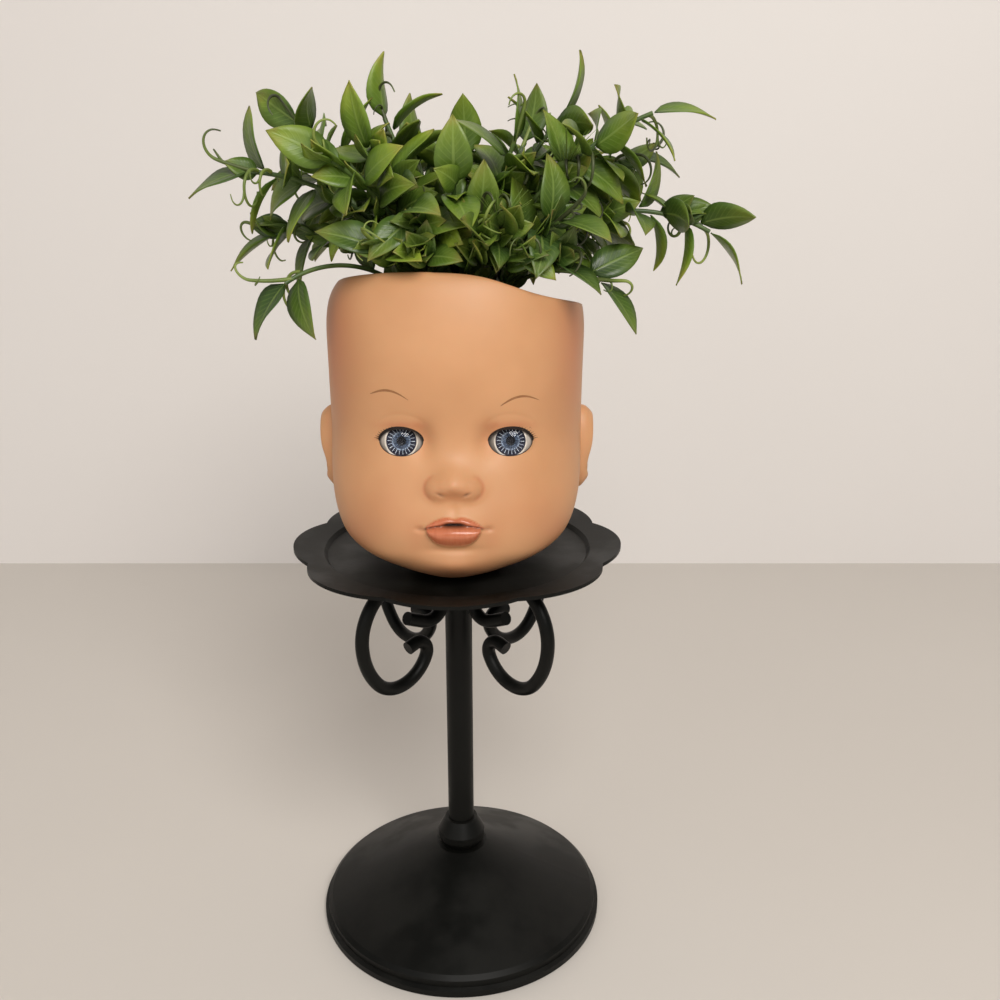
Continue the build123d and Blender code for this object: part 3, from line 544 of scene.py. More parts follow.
def relief(across, height):
    """Forward swell of nose, lips, cheeks and chin over the plain face."""
    nose, mouth, face = across - NOSE_X, across - MOUTH_X, across - FACE_SHIFT
    ball = 6.4 * hill(nose, height, 0, 41.6, 7.4, np.where(height > 41.6, 6.8, 4.4))
    wings = 3.7 * np.exp(-wing_away(nose, height) ** 3)
    swell = soft_max(ball, wings, 4.2) + 0.3 * hill(nose, height, 0, 53.0, 7.0, 8.0)
    swell = swell - 0.9 * nostril(nose, height) - 0.4 * wing_crease(nose, height)
    swell = swell + 2.4 * hill(mouth, height, 0, 25.0, 14.0, 9.5)
    swell = swell - 0.5 * hill(mouth, height, 0, 32.2, 1.6, 2.4)
    upper, lower, fade = lip_parts(mouth, height)
    swell = swell + fade * (1.7 * np.sin(math.pi * upper ** 0.7) + 3.3 * np.sin(math.pi * lower ** 0.8) ** 0.75)
    line = mouth_lines(mouth)[1]
    swell = swell - fade * np.exp(-((height - line) / 0.5) ** 2)
    swell = swell - 2.0 * np.exp(-((height - line - 0.25) / 1.0) ** 2 - (mouth / 4.1) ** 4)
    swell = swell - 0.9 * twin(mouth, height, 13.2, 24.5, 1.9, 1.0)
    swell = swell - 0.9 * hill(mouth, height, 0, 16.4, 8.5, 1.5)
    swell = swell + 2.3 * hill(mouth, height, 0, 8.8, 9.0, 4.2)
    swell = swell - 0.8 * twin(mouth, height, 20.0, 9.5, 6.0, 4.5)
    swell = swell + 1.6 * twin(face, height, 29.0, 31.0, 13.0, 13.0)
    swell = swell - 1.1 * twin(face, height, EYE_X, 60.0, 12.0, 8.5)
    swell = swell - 3.6 * twin(face, height, 12.4, 58.6, 4.4, 6.2)
    swell = swell + 0.15 * twin(face, height, EYE_X, 46.5, 10.0, 4.6)
    crease = np.abs((np.abs(face) - EYE_X) ** 2 / 26.0 + (height - 68.6))
    return swell - 0.14 * np.exp(-(crease / 0.8) ** 2) * (np.abs(np.abs(face) - EYE_X) < 9.5)


def eye_middle(side):
    """Centre of an eye, on the depth that the source's straight runs between sections give."""
    across = FACE_SHIFT + side * EYE_X
    return across, EYE_RECESS + EYE_RADIUS - plain_front(across, EYE_HEIGHT, SECTIONS), EYE_HEIGHT


def eye_place(side):
    return HEAD_PLACE @ Matrix.Translation(eye_middle(side))


def before_lids(across, along, height, room):
    """Depth of the face, brought forward where a turning lid would come nearer than the room."""
    for side in (-1, 1):
        x, y, z = eye_middle(side)
        reach = (EYE_RADIUS + room) ** 2 - (across - x) ** 2 - (height - z) ** 2
        along = np.where((reach > 0) & (along < 0), np.minimum(along, y - np.sqrt(np.maximum(reach, 0))), along)
    return along


def face_point(across, height, lift=0.0):
    along = -(plain_front(across, height) + relief(np.float64(across), np.float64(height)))
    return Vector((across, float(before_lids(across, along, height, LID_ROOM)) - lift, height))


def almond_line(count):
    """Rounded almond outline of an eye opening about its centre, in order around it."""
    points = []
    for step in range(2 * count):
        angle = math.pi * step / count
        across, up = math.cos(angle), math.sin(angle)
        level = EYE_UPPER if up > 0 else EYE_LOWER
        points.append((EYE_HALF * math.copysign(abs(across) ** 0.92, across),
                       level * math.copysign(abs(up) ** 1.12, up)))
    return points


def cut_eye(bm, side, liner_and_shade):
    """Cut one almond opening with short planes along its outline, then turn its edge inwards."""
    centre = Vector((FACE_SHIFT + side * EYE_X, EYE_HEIGHT))
    line = [Vector(point) + centre for point in almond_line(26)]
    planes = []
    for first, second in zip(line, line[1:] + line[:1]):
        run, middle = second - first, (first + second) / 2
        out = Vector((run.y, -run.x)).normalized()
        planes.append((middle, out if (middle - centre).dot(out) > 0 else -out))
    for middle, out in planes:
        local = [face for face in bm.faces
                 if face.calc_center_median().y < 0
                 and (Vector(face.calc_center_median().xz) - middle).length < 1.7]
        parts = set(local)
        for face in local:
            parts.update(face.edges)
            parts.update(face.verts)
        bmesh.ops.bisect_plane(bm, geom=list(parts), dist=0.0005, plane_co=(middle.x, 0, middle.y),
                               plane_no=(out.x, 0, out.y))
    inside = []
    for face in bm.faces:
        place = face.calc_center_median()
        flat = Vector(place.xz)
        near = place.y < 0 and (flat - centre).length < EYE_REACH
        if near and all((flat - middle).dot(out) < 0 for middle, out in planes):
            inside.append(face)
    bmesh.ops.delete(bm, geom=inside, context="FACES")
    edge = [item for item in bm.edges if item.is_boundary and item.verts[0].co.y < 0
            and (Vector(item.verts[0].co.xz) - centre).length < EYE_REACH]
    for item in edge:
        # Real painted lash line along the edge of the eye opening.
        for vert in item.verts:
            vert[liner_and_shade] = 0.85 if vert.co.z > EYE_HEIGHT + 1.5 else 0.6
    made = bmesh.ops.extrude_edge_only(bm, edges=edge)
    for vert in made["geom"]:
        if isinstance(vert, bmesh.types.BMVert):
            vert.co.y = float(before_lids(vert.co.x, vert.co.y + EYE_EDGE, vert.co.z, LID_ROOM - 0.15))
            vert[liner_and_shade] = 0.5


def head_skin():
    """Whole vinyl skin: a grid wrapped round the head, with face, eye openings and cut rim."""
    front = [(share, -(1 - abs(share) ** HEAD_SQUARENESS) ** (1 / HEAD_SQUARENESS))
             for share in np.linspace(-FRONT_SHARE, FRONT_SHARE, 171)]
    turn = math.asin(FRONT_SHARE ** (HEAD_SQUARENESS / 2))
    power = 2 / HEAD_SQUARENESS
    rest = []
    for angle in np.linspace(turn, 2 * math.pi - turn, 82)[1:]:
        across, along = math.sin(angle), -math.cos(angle)
        rest.append((math.copysign(abs(across) ** power, across), math.copysign(abs(along) ** power, along)))
    ring = np.array(front + rest)
    low = PROFILE[PROFILE[:, 0] < 8.3]
    low = low[np.linspace(0, len(low) - 1, 14).astype(int)]
    rows = [(*low[0], share) for share in (0.0, 0.3, 0.6, 0.85)] + [(*row, 1.0) for row in low]
    heights = list(np.arange(8.8, 86.0, 0.55))
    rows += [(height, *size_at(height), 1.0) for height in heights]
    edge = np.interp(ring[:, 0] * HEAD_SIZES[1], RIM[:, 0], RIM[:, 1])
    for share in np.linspace(0, 1, 31)[1:]:
        height = heights[-1] + (edge - heights[-1]) * share
        rows.append((height, *size_at(height), 1.0))
    count = len(rows)
    points = np.zeros((count, len(ring), 3))
    for index, (height, half, face, back, share) in enumerate(rows):
        points[index, :, 0] = ring[:, 0] * half * share
        points[index, :, 1] = ring[:, 1] * (face + back) / 2 * share + (back - face) / 2
        points[index, :, 2] = height
    toward = np.clip((-ring[:, 1] - 0.15) / 0.35, 0, 1)[None, :]
    across, height = points[:, :, 0], points[:, :, 2]
    points[:, :, 1] -= relief(across, height) * toward
    points[:, :, 1] = before_lids(across, points[:, :, 1], height, LID_ROOM)
    face, nose, mouth = across - FACE_SHIFT, across - NOSE_X, across - MOUTH_X
    upper, lower, fade = lip_parts(mouth, height)
    edge_soft = np.clip(np.maximum((1 - upper) * (upper > 0), (1 - lower) * (lower > 0)) * 7, 0, 1)
    lip = edge_soft * np.clip(fade * 1.6, 0, 1) * (toward > 0.5)
    # Blush mask: real blush on cheeks, nose and chin; the eyelid band, inner eye corners, mouth corners, nose-wing
    # creases, jaw and forehead sides are painted shade.
    blush_and_shade = (0.24 * twin(face, height, 31, 30, 14, 13) + 0.30 * hill(nose, height, 0, 39, 10, 4)
             + 0.50 * hill(mouth, height, 0, 6, 18, 6) + 0.70 * twin(face, height, EYE_X, 64.2, 8.0, 1.5)
             + 0.40 * twin(face, height, 13, 60, 3.5, 5) + 0.30 * twin(mouth, height, 14, 22, 5, 8)
             + 0.55 * wing_crease(nose, height) + 0.45 * twin(face, height, 42, 18, 8, 9)
             + 0.90 * twin(face, height, 52, 98, 12, 34)) * toward
    line = mouth_lines(mouth)[1]
    # Painted shade: the mouth gap and line, the mouth corners and the nostrils are darkened here.
    liner_and_shade = (0.92 * np.exp(-((height - line - 0.25) / 0.95) ** 2 - (mouth / 4.2) ** 4)
             + 0.50 * np.exp(-((height - line) / 0.35) ** 2) * fade
             + 0.30 * twin(mouth, height, 13.0, 24.5, 1.6, 0.5)
             + 0.55 * nostril(nose, height)) * toward

    bm = bmesh.new()
    layers = {name: bm.verts.layers.float.new(name) for name in ("lip", "blush_and_shade", "liner_and_shade")}
    for vert, u, v in sheet_grid(bm, len(ring) - 1, count - 1):
        column, row = round(u * (len(ring) - 1)), round(v * (count - 1))
        vert.co = points[row, column]
        vert[layers["lip"]] = lip[row, column]
        vert[layers["blush_and_shade"]] = blush_and_shade[row, column]
        vert[layers["liner_and_shade"]] = liner_and_shade[row, column]
    bmesh.ops.remove_doubles(bm, verts=bm.verts, dist=0.0004)
    bmesh.ops.recalc_face_normals(bm, faces=bm.faces)
    for side in (-1, 1):
        cut_eye(bm, side, layers["liner_and_shade"])
    rim = [item for item in bm.edges if item.is_boundary and item.verts[0].co.z > 100]
    for drop, inward in ((0.35, 0.7), (0.0, HEAD_WALL - 1.1), (-0.5, 0.6), (-9.0, -0.4), (-26.0, -0.6)):
        made = bmesh.ops.extrude_edge_only(bm, edges=rim)["geom"]
        rim = [item for item in made if isinstance(item, bmesh.types.BMEdge)]
        for vert in [item for item in made if isinstance(item, bmesh.types.BMVert)]:
            away = Vector((vert.co.x / HEAD_SIZES[1], (vert.co.y - 3) / HEAD_SIZES[2]))
            away.normalize()
            vert.co.x -= away.x * inward
            vert.co.y -= away.y * inward
            vert.co.z += drop
        rim = [item for item in rim if item.is_boundary]
    nose = min(bm.faces, key=lambda face: face.calc_center_median().y)
    if nose.normal.y > 0:
        bmesh.ops.reverse_faces(bm, faces=bm.faces)
    bm.transform(HEAD_PLACE)
    return show("head_skin", bm, "planter", VINYL, ["head_shell"])


def neck():
    bm = bmesh.new()
    spun(bm, [(NECK_RADIUS + 0.6, 0, PLATE_TOP + 0.1), (NECK_RADIUS + 0.2, 0, PLATE_TOP + 1.5),
              (NECK_RADIUS, 0, PLATE_TOP + 4), (NECK_RADIUS, 0, PLATE_TOP + 19)], 72, (0, 0, 1))
    bm.transform(SCENE_PLACE)
    return show("neck_stub", bm, "planter", VINYL)


def ear(side, name):
    """Flattened ear with a rolled outer edge, a hollow and a small lobe."""
    bm = bmesh.new()
    bmesh.ops.create_uvsphere(bm, u_segments=56, v_segments=40, radius=1.0,
                              matrix=Matrix.Rotation(math.pi / 2, 4, "Y"))
    half = float(size_at(EAR_HEIGHT)[0])
    for vert in bm.verts:
        out, along, up = vert.co
        reach = math.hypot(along, up)
        bulge = (EAR_PROUD - 0.2) * (out ** 0.7 if out > 0 else out)
        if out > 0:
            bulge *= 0.74 + 0.26 * math.tanh(3.5 * (up + 0.15)) + 0.30 * math.exp(-((up + 0.72) / 0.2) ** 2)
            bulge += 0.9 * math.exp(-((reach - 0.78) / 0.13) ** 2) * (1 if up > -0.5 else 0.3)
            bulge -= 2.3 * math.exp(-(((along + 0.05) / 0.38) ** 2 + ((up - 0.02) / 0.42) ** 2))
        wide = EAR_HALF_SIZES[0] * (0.86 + 0.16 * up)
        vert.co = (side * (half - 0.6 + bulge), EAR_SETBACK + along * wide - 1.5 * up,
                   EAR_HEIGHT + up * EAR_HALF_SIZES[1])
    bmesh.ops.recalc_face_normals(bm, faces=bm.faces)
    bm.transform(HEAD_PLACE)
    return show(f"{name}_ear", bm, "planter", VINYL)


def brow(line, name):
    """Thin painted stroke that lies on the forehead and runs out at both ends."""
    bm = bmesh.new()
    path = smooth_rows(line, 41)
    for vert, u, v in sheet_grid(bm, 40, 2):
        place = path[round(u * 40)]
        width = 0.8 * math.sin(math.pi * clamped(u) ** 0.8) ** 0.7 + 0.08
        vert.co = face_point(FACE_SHIFT + place[0], place[1] + (v - 0.5) * width, 0.05)
    bmesh.ops.recalc_face_normals(bm, faces=bm.faces)
    bm.transform(HEAD_PLACE)
    return show(f"{name}_brow", bm, "planter", BROW)


def lash_edge(side, name):
    """Dark painted lash line round the opening, heavy above, with short lashes at the outer corner."""
    bm = bmesh.new()
    middle = FACE_SHIFT + side * EYE_X
    line = almond_line(60)
    for first, heavy, thin in ((0, 0.95, 0.30), (60, 0.10, 0.20)):
        for vert, u, v in sheet_grid(bm, 60, 2):
            across, up = line[(first + round(u * 60)) % 120]
            outward = across * side / EYE_HALF
            thick = thin + heavy * math.sin(math.pi * u) ** 0.6 * (1 + 0.35 * outward)
            grow = 1 + (v * thick - 0.15 - 0.25 * heavy * math.sin(math.pi * u)) / math.hypot(across, up)
            vert.co = face_point(middle + across * grow, EYE_HEIGHT + up * grow, 0.07)
    for index in range(CORNER_LASHES):
        angle = math.radians(12 + 7.5 * index)
        across, up = side * EYE_HALF * math.cos(angle) ** 0.92, EYE_UPPER * math.sin(angle) ** 1.12
        root = face_point(middle + across * 1.03, EYE_HEIGHT + up * 1.03, 0.0)
        length = 2.3 - 0.14 * index + chance.uniform(-0.2, 0.2)
        way = Vector((side * (0.9 - 0.07 * index), -0.55, 0.25 + 0.07 * index)).normalized()
        bristle(bm, root, way, length, 0.19, 0.04)
    bmesh.ops.recalc_face_normals(bm, faces=bm.faces)
    bm.transform(HEAD_PLACE)
    return show(f"{name}_lash_edge", bm, "planter", LASH)


# Eyes, each built about its own centre

def on_lid(radius, side_angle, lift):
    """Point on the lid's ball: angle to the side and angle above the eye's axis."""
    ahead = radius * math.cos(side_angle)
    return Vector((radius * math.sin(side_angle), -ahead * math.cos(lift), ahead * math.sin(lift)))


def eye(side, name):
    place = eye_place(side)
    body = f"{name}_eye"

    bm = bmesh.new()
    bmesh.ops.create_uvsphere(bm, u_segments=64, v_segments=40, radius=EYE_RADIUS,
                              matrix=Matrix.Rotation(math.pi / 2, 4, "X"))
    bmesh.ops.bisect_plane(bm, geom=bm.verts[:] + bm.edges[:] + bm.faces[:], dist=0.0001, plane_co=(0, -EYE_FLAT, 0),
                           plane_no=(0, -1, 0), clear_outer=True)
    bm.transform(place)
    show(f"{name}_eye_white", bm, body, EYE_WHITE, [f"{name}_eyeball"])

    bm = bmesh.new()
    spun(bm, [(0, -7.45, 0), (1.5, -7.5, 0), (1.75, -7.85, 0), (3.0, -7.75, 0), (4.2, -7.85, 0), (5.2, -8.0, 0),
              (5.85, -8.1, 0), (6.53, -EYE_FLAT, 0)], 72, (0, 1, 0))
    if sum(face.normal.y for face in bm.faces) > 0:
        bmesh.ops.reverse_faces(bm, faces=bm.faces)
    disc = bm.loops.layers.uv.new("disc")
    for face in bm.faces:
        for loop in face.loops:
            loop[disc].uv = (loop.vert.co.x / IRIS_SPAN + 0.5, loop.vert.co.z / IRIS_SPAN + 0.5)
    bm.transform(place)
    show(f"{name}_iris_print", bm, body, IRIS, [f"{name}_iris"])

    bm = bmesh.new()
    limit = math.asin(DOME_HALF / EYE_RADIUS)
    arc = [(EYE_RADIUS * math.sin(limit * step / 14), -EYE_RADIUS * math.cos(limit * step / 14), 0)
           for step in range(15)]
    spun(bm, arc + [(DOME_HALF - 0.05, -DOME_BACK, 0), (0, -DOME_BACK, 0)], 72, (0, 1, 0))
    bm.transform(place)
    show(f"{name}_clear_dome", bm, body, DOME, [f"{name}_cornea"])

    bm = bmesh.new()
    for vert, u, v in sheet_grid(bm, 44, 30):
        lift = math.radians(LID_EDGE + LID_SWEEP * v)
        vert.co = on_lid(EYE_RADIUS + LID_PROUD, math.radians(LID_SIDE) * (2 * u - 1), lift)
    bmesh.ops.recalc_face_normals(bm, faces=bm.faces)
    if sum(face.normal.dot(face.calc_center_median()) for face in bm.faces) < 0:
        bmesh.ops.reverse_faces(bm, faces=bm.faces)
    bmesh.ops.solidify(bm, geom=bm.faces[:], thickness=LID_THICKNESS)
    bm.transform(place)
    show(f"{name}_lid", bm, body, LID, [f"{name}_eyelid"])

    bm = bmesh.new()
    # Dark band at the lid's edge, widened over most of the visible lid: real lash strip, and painted shade under the
    # opening's upper edge.
    for vert, u, v in sheet_grid(bm, 48, 3):
        outward = (2 * u - 1) * side
        thick = 4.6 + 1.6 * max(0.0, outward)
        lift = math.radians(LID_EDGE - 0.6 + thick * v * math.cos(1.2 * (2 * u - 1)))
        vert.co = on_lid(EYE_RADIUS + 0.42, math.radians(LASH_SIDE + 2) * (2 * u - 1), lift)
    for index in range(LASH_COUNT):
        share = 2 * (index + 0.5) / LASH_COUNT - 1
        angle = math.radians(LASH_SIDE) * share
        outward = share * side
        length = 1.15 + 0.55 * max(0.0, outward) + chance.uniform(-0.15, 0.15)
        root = on_lid(EYE_RADIUS + 0.35, angle, math.radians(LID_EDGE + 0.6))
        way = (root.normalized() * 0.7 + Vector((0.75 * share, 0, 0.55)) +
               Vector([chance.uniform(-0.12, 0.12) for _ in range(3)])).normalized()
        bristle(bm, root, way, length, 0.1, 0.025)
    bm.transform(place)
    show(f"{name}_lash_line_and_lid_shade", bm, body, LASH, [f"{name}_lashes"])


# Plant, set on the CAD leaves and tendrils

def islands(name):
    """Separate solids of a CAD node as point sets in millimetres."""
    bm = bmesh.new()
    bm.from_mesh(nodes[name].data)
    bmesh.ops.remove_doubles(bm, verts=bm.verts, dist=1e-6)
    bm.verts.index_update()
    seen = set()
    groups = []
    for first in bm.verts:
        if first.index in seen:
            continue
        seen.add(first.index)
        stack, group = [first], []
        while stack:
            vert = stack.pop()
            group.append(vert.co[:])
            for item in vert.link_edges:
                other = item.other_vert(vert)
                if other.index not in seen:
                    seen.add(other.index)
                    stack.append(other)
        groups.append(np.array(group) / MM)
    bm.free()
    return groups


def stem_tree(branches):
    places = [np.array(vert.co) / MM for name in branches for vert in nodes[f"stems_{name}"].data.vertices]
    tree = KDTree(len(places))
    for index, place in enumerate(places):
        tree.insert(place, index)
    tree.balance()
    return tree


def spread(points):
    """Mean and the short, middle and long direction of a point set."""
    mean = points.mean(axis=0)
    return mean, np.linalg.eigh(np.cov((points - mean).T))[1].T


def blade(bm, tint_and_shade_layer, base, tip, normal, width, tint_and_shade):
    """One folded, bowed and slightly wavy leaf from its stalk to its tip."""
    length = np.linalg.norm(tip - base)
    way = (tip - base) / length
    aside = unit(np.cross(normal, way))
    normal = np.cross(way, aside)
    fold = math.radians(chance.uniform(4, 22))
    roll = math.radians(chance.uniform(-24, 24))
    twist = math.radians(chance.uniform(-20, 20))
    bow = length * chance.uniform(0.04, 0.11)
    wave = chance.uniform(0.15, 0.5)
    phase = chance.uniform(0, 6.28)
    for vert, u, v in sheet_grid(bm, 10, 4, uv=True):
        v = 2 * v - 1
        half = width / 2 * math.sin(math.pi * clamped(u) ** 0.72) ** 0.8
        half *= 1 - 0.25 * max(0.0, (u - 0.78) / 0.22)
        half = max(half, 0.45 * (1 - u))
        turned = roll + twist * u
        across = aside * math.cos(turned) + normal * math.sin(turned)
        upward = normal * math.cos(turned) - aside * math.sin(turned)
        rise = abs(v) ** 1.3 * half * math.sin(fold) + wave * abs(v) * math.sin(7 * u + phase + v)
        vert.co = (base + way * (length * u) + normal * (4 * bow * u * (1 - u))
                   + across * (v * half * math.cos(fold)) + upward * rise)
        vert[tint_and_shade_layer] = tint_and_shade


def leaf(bm, tint_and_shade_layer, points, tree):
    """Leaf in the place of a CAD leaf."""
    mean, (normal, aside, way) = spread(points)
    run = (points - mean) @ way
    ends = [points[run < run.min() + 0.5].mean(axis=0), points[run > run.max() - 0.5].mean(axis=0)]
    if tree.find(ends[0])[2] > tree.find(ends[1])[2]:
        ends.reverse()
    base, tip = ends
    if (mean - (base + tip) / 2) @ normal < 0:
        normal = -normal
    # Tint varies at random from leaf to leaf, and with height as painted light and shade: lower leaves darker, higher
    # ones lighter.
    tint_and_shade = clamped(chance.gauss(0.5, 0.26) + (mean[2] - 322) / 150)
    blade(bm, tint_and_shade_layer, base, tip, normal, np.ptp((points - mean) @ aside) * chance.uniform(1.05, 1.25), tint_and_shade)


def filler(bm, tint_and_shade_layer, stem):
    """Small leaves on the lower part of one stem, given a dark tint as painted shade: upright within the rim,
    spreading above it.
    """
    low = [place for place in stem if LOW_LEAVES[0] < place[2] < LOW_LEAVES[1]
           and math.hypot(place[0], place[1] - 4) < 36]
    high = [place for place in stem if HIGH_LEAVES[0] < place[2] < HIGH_LEAVES[1]]
    for places, count, flat in ((low, 4, 0.28), (high, 9, 0.75)):
        for place in chance.sample(places, min(len(places), count)):
            out = np.array([place[0], place[1] - 14.0, 0.0])
            out = out / max(np.linalg.norm(out), 1.0)
            way = out * flat + np.array([chance.gauss(0, 0.6), chance.gauss(-0.2, 0.4), 0.0]) * flat
            way = unit(way + np.array([0, 0, chance.uniform(0.0, 0.7) if places is high else 1.0]))
            length = chance.uniform(12, 18)
            normal = np.array([way[2] * out[0], way[2] * out[1] - 0.3, 0.4]) + out * 0.7
            # Painted shade and light: filler leaves start dark and lighten with height above the rim.
            tint_and_shade = clamped(chance.gauss(0.18, 0.18) + (place[2] - HIGH_LEAVES[0]) / 80)
            blade(bm, tint_and_shade_layer, np.array(place), place + way * length, normal, length * chance.uniform(0.55, 0.7),
                  tint_and_shade)


def tendril_lines(points, tree):
    """Spiral hook in the place of a CAD tendril, and a smaller side hook on some."""
    mean, (normal, first, second) = spread(points)
    flat = np.stack([(points - mean) @ first, (points - mean) @ second], axis=1)
    system = np.concatenate([2 * flat, np.ones((len(flat), 1))], axis=1)
    x, y, rest = np.linalg.lstsq(system, (flat ** 2).sum(axis=1), rcond=None)[0]
    radius = math.sqrt(rest + x * x + y * y)
    angles = np.sort(np.arctan2(flat[:, 1] - y, flat[:, 0] - x))
    gaps = np.diff(np.append(angles, angles[0] + 2 * math.pi))
    widest = int(gaps.argmax())
    start = angles[(widest + 1) % len(angles)]
    sweep = 2 * math.pi - gaps[widest]

    def at(angle, size):
        return mean + first * (x + size * math.cos(angle)) + second * (y + size * math.sin(angle))

    sign = 1.0
    if tree.find(at(start, radius))[2] > tree.find(at(start + sweep, radius))[2]:
        start, sign = start + sweep, -1.0
    lean = normal * chance.uniform(-2.5, 2.5)
    long = sweep * chance.uniform(1.0, 1.45)
    main = []
    for step in range(13):
        share = step / 12
        size = radius * (1 - 0.5 * max(0.0, share - 0.35))
        main.append((at(start + sign * long * share, size) + lean * share, 0.80 - 0.50 * share))
    lines = [main]
    if chance.random() < 0.6:
        ahead = unit(main[6][0] - main[4][0])
        lines.append(hook(main[5][0], ahead, np.cross(ahead, normal) * sign, radius * chance.uniform(0.4, 0.6), 0.5))
    return lines


def hook(root, ahead, out, size, thick):
    """Small curl that leaves along one direction and bends over to another."""
    side = np.cross(ahead, out)
    turns = [math.radians(190 * step / 8) for step in range(9)]
    return [(root + size * (ahead * math.sin(turn) + out * (1 - math.cos(turn))) + side * turn * 0.4,
             thick * (1 - 0.6 * turn / turns[-1])) for turn in turns]


def shoot(stem):
    """Young tip that carries a stem on a little and ends in curled hooks."""
    far = stem[np.argmax(np.linalg.norm(stem - np.array(PLANT_HEART), axis=1))]
    gap = np.linalg.norm(stem - far, axis=1)
    end = stem[gap < 2.2].mean(axis=0)
    ahead = unit(end - stem[(gap > 2.5) & (gap < 16)].mean(axis=0))
    side = unit(np.cross(ahead, [chance.gauss(0, 1), chance.gauss(0, 1), chance.gauss(0, 0.4)]))
    up = np.array([0.0, 0.0, 1.0]) * chance.uniform(0.2, 0.6)
    way = unit(ahead + up)
    long = chance.uniform(7, 14)
    neck = end + way * long
    lines = [[(end - ahead * 3, 0.95), (end + way * long * 0.4, 0.88), (neck, 0.75)]
             + hook(neck, way, side, chance.uniform(3.5, 5.5), 0.72)[1:]]
    for share in (0.45, 0.8):
        if chance.random() < 0.75:
            lines.append(hook(end + way * long * share, (way + side * chance.choice((-1, 1))) / math.sqrt(2),
                              np.cross(way, side) * chance.choice((-1, 1)), chance.uniform(2.6, 4.4), 0.5))
    return lines


def wires(name, lines, body, material, replaced=()):
    """Tapered round strands, each a smooth spline."""
    curve = bpy.data.curves.new(name, "CURVE")
    curve.dimensions = "3D"
    curve.bevel_depth = MM
    curve.bevel_resolution = 1
    curve.resolution_u = 3
    curve.use_fill_caps = True
    for line in lines:
        spline = curve.splines.new("NURBS")
        spline.points.add(len(line) - 1)
        for point, (place, radius) in zip(spline.points, line):
            point.co = (*(np.array(place) * MM), 1.0)
            point.radius = radius
        spline.order_u = 3
        spline.use_endpoint_u = True
    return carry(bpy.data.objects.new(name, curve), body, material, replaced)


def tuft(place, tree, count, tall):
    """Fan of hair-fine grass that starts on the nearest stem."""
    root = np.array(tree.find(place)[0])
    lines = []
    for _ in range(count):
        way = np.array([chance.gauss(0.15, 0.45), chance.gauss(-0.35, 0.35), 1.0])
        way = unit(way) * tall * chance.uniform(0.7, 1.1)
        sag = np.array([way[0] * 0.35, way[1] * 0.35, -tall * 0.12])
        lines.append([(root, 0.16), (root + way * 0.5, 0.14), (root + way + sag, 0.07)])
    return lines


def plant():
    branches = [name[len("leaves_"):] for name in named("leaves_")]
    tree = stem_tree(branches)
    for name in branches:
        bm = bmesh.new()
        bm.loops.layers.uv.new("leaf")
        tint_and_shade_layer = bm.verts.layers.float.new("tint_and_shade")
        for points in islands(f"leaves_{name}"):
            leaf(bm, tint_and_shade_layer, points, tree)
        stems = islands(f"stems_{name}")
        for stem in stems:
            filler(bm, tint_and_shade_layer, stem)
        bm.transform(SCENE_PLACE)
        spray = show(f"leaf_spray_{name}", bm, "plant", LEAF, [f"leaves_{name}"])
        wall = spray.modifiers.new("blade", "SOLIDIFY")
        wall.thickness = BLADE_THICKNESS * MM
        wall.offset = 0.0
        curls = [line for points in islands(f"tendrils_{name}") for line in tendril_lines(points, tree)]
        curls += [line for stem in stems if chance.random() < 0.7 for line in shoot(stem)]
        wires(f"curls_{name}", curls, "plant", TENDRIL, [f"tendrils_{name}"])
    strands = (tuft((48, -4, 336), tree, 40, 20) + tuft((20, -16, 325), tree, 26, 17)
               + tuft((-24, -14, 312), tree, 20, 15))
    wires("grass_tufts", strands, "plant", GRASS)


def foam_block():
    bm = bmesh.new()
    bm.from_mesh(nodes["foam_block"].data)
    bmesh.ops.remove_doubles(bm, verts=bm.verts, dist=1e-6)
    show("foam_plug", bm, "planter", FOAM, ["foam_block"], flat=True)


head_skin()
neck()
for side, name in ((-1, "left"), (1, "right")):
    ear(side, name)
    lash_edge(side, name)
    eye(side, name)
    dress(ZINC, f"{name}_eye_axle")
    dress(SOCKET, f"{name}_eye_socket")
    dress(WEIGHT, f"{name}_eye_weight")
brow([(-32.8, 76.3), (-27.0, 77.8), (-22.4, 76.9), (-17.6, 74.1)], "left")
brow([(17.2, 71.8), (21.5, 74.4), (26.6, 75.5), (32.4, 73.8)], "right")
plant()
foam_block()

dress(ENAMEL, "foot_shell", "post_collar", "post_tube", "plate", *named("bracket_"))
dress(ZINC, "tie_rod", "foot_nut", "foot_washer", "plate_nut", "plate_washer")
dress(FELT, "foot_felt")
dress(GLUE, "neck_glue")
dress(STEM, "plant_pick", *named("stems_"))


# Table, wall, light and camera, in metres
LAMP_AIM = (0, 0, 0.22)
ROOM_STRENGTH = 0.32
CAMERA_LENS = 37.8
CAMERA_PLACE = (0.0185, -0.430, 0.3447)
CAMERA_DOWN = 18.05


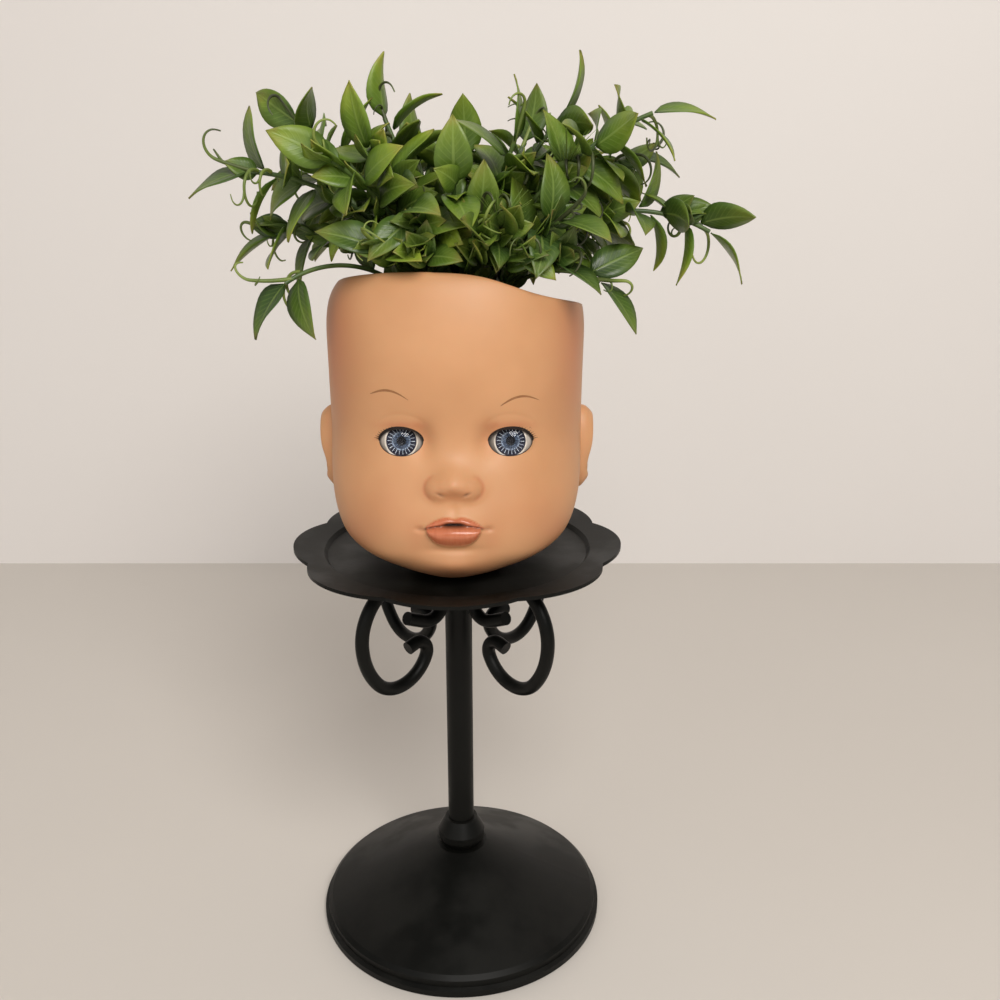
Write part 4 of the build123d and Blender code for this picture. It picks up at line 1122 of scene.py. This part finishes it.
def backdrop(name, tone, other, size, place, turn):
    """Plain sheet that a camera behind it looks through."""
    bm = bmesh.new()
    bmesh.ops.create_grid(bm, x_segments=8, y_segments=8, size=size)
    bm.transform(Matrix.Translation(place) @ Matrix.Rotation(turn, 4, "X"))
    mesh = bpy.data.meshes.new(name)
    bm.to_mesh(mesh)
    bm.free()
    material = plain_finish(name, tone, other, 0.55, broad=1.6, fine=60.0, span=0.15, bump=(0.02, 0.001))
    tree = material.node_tree
    see_through(tree, tree.nodes["Principled BSDF"],
                sums(tree, "MULTIPLY", add(tree, "NewGeometry").outputs["Backfacing"],
                     add(tree, "LightPath").outputs["Is Camera Ray"]))
    mesh.materials.append(material)
    made = bpy.data.objects.new(name, mesh)
    bpy.context.scene.collection.objects.link(made)


def lamp(name, place, size, power, tone):
    light = bpy.data.lights.new(name, "AREA")
    light.shape = "DISK"
    light.size = size
    light.energy = power
    light.color = tone
    made = bpy.data.objects.new(name, light)
    made.location = place
    made.rotation_euler = (Vector(LAMP_AIM) - Vector(place)).to_track_quat("-Z", "Y").to_euler()
    bpy.context.scene.collection.objects.link(made)


backdrop("table", (0.66, 0.615, 0.565), (0.69, 0.645, 0.595), 4.0, (0, -3.55, 0), 0.0)
backdrop("wall", (0.83, 0.79, 0.765), (0.85, 0.815, 0.79), 4.0, (0, 0.445, 3.9), math.pi / 2)
lamp("key", (0.34, -1.20, 1.30), 0.9, 21.5, (1.0, 0.97, 0.93))
lamp("fill", (-0.9, -1.2, 0.7), 1.2, 2.8, (1.0, 0.97, 0.94))

world = bpy.data.worlds.new("soft_room")
bpy.context.scene.world = world
world.use_nodes = True
world.node_tree.nodes["Background"].inputs["Color"].default_value = rgb(0.95, 0.93, 0.90)
world.node_tree.nodes["Background"].inputs["Strength"].default_value = ROOM_STRENGTH

camera = bpy.data.objects.new("camera", bpy.data.cameras.new("camera"))
camera.data.lens = CAMERA_LENS
camera.data.sensor_width = 36.0
camera.data.clip_start = 0.01
camera.location = CAMERA_PLACE
camera.rotation_euler = (math.radians(90 - CAMERA_DOWN), 0, 0)
bpy.context.scene.collection.objects.link(camera)
bpy.context.scene.camera = camera
bpy.context.scene.view_settings.view_transform = "Standard"
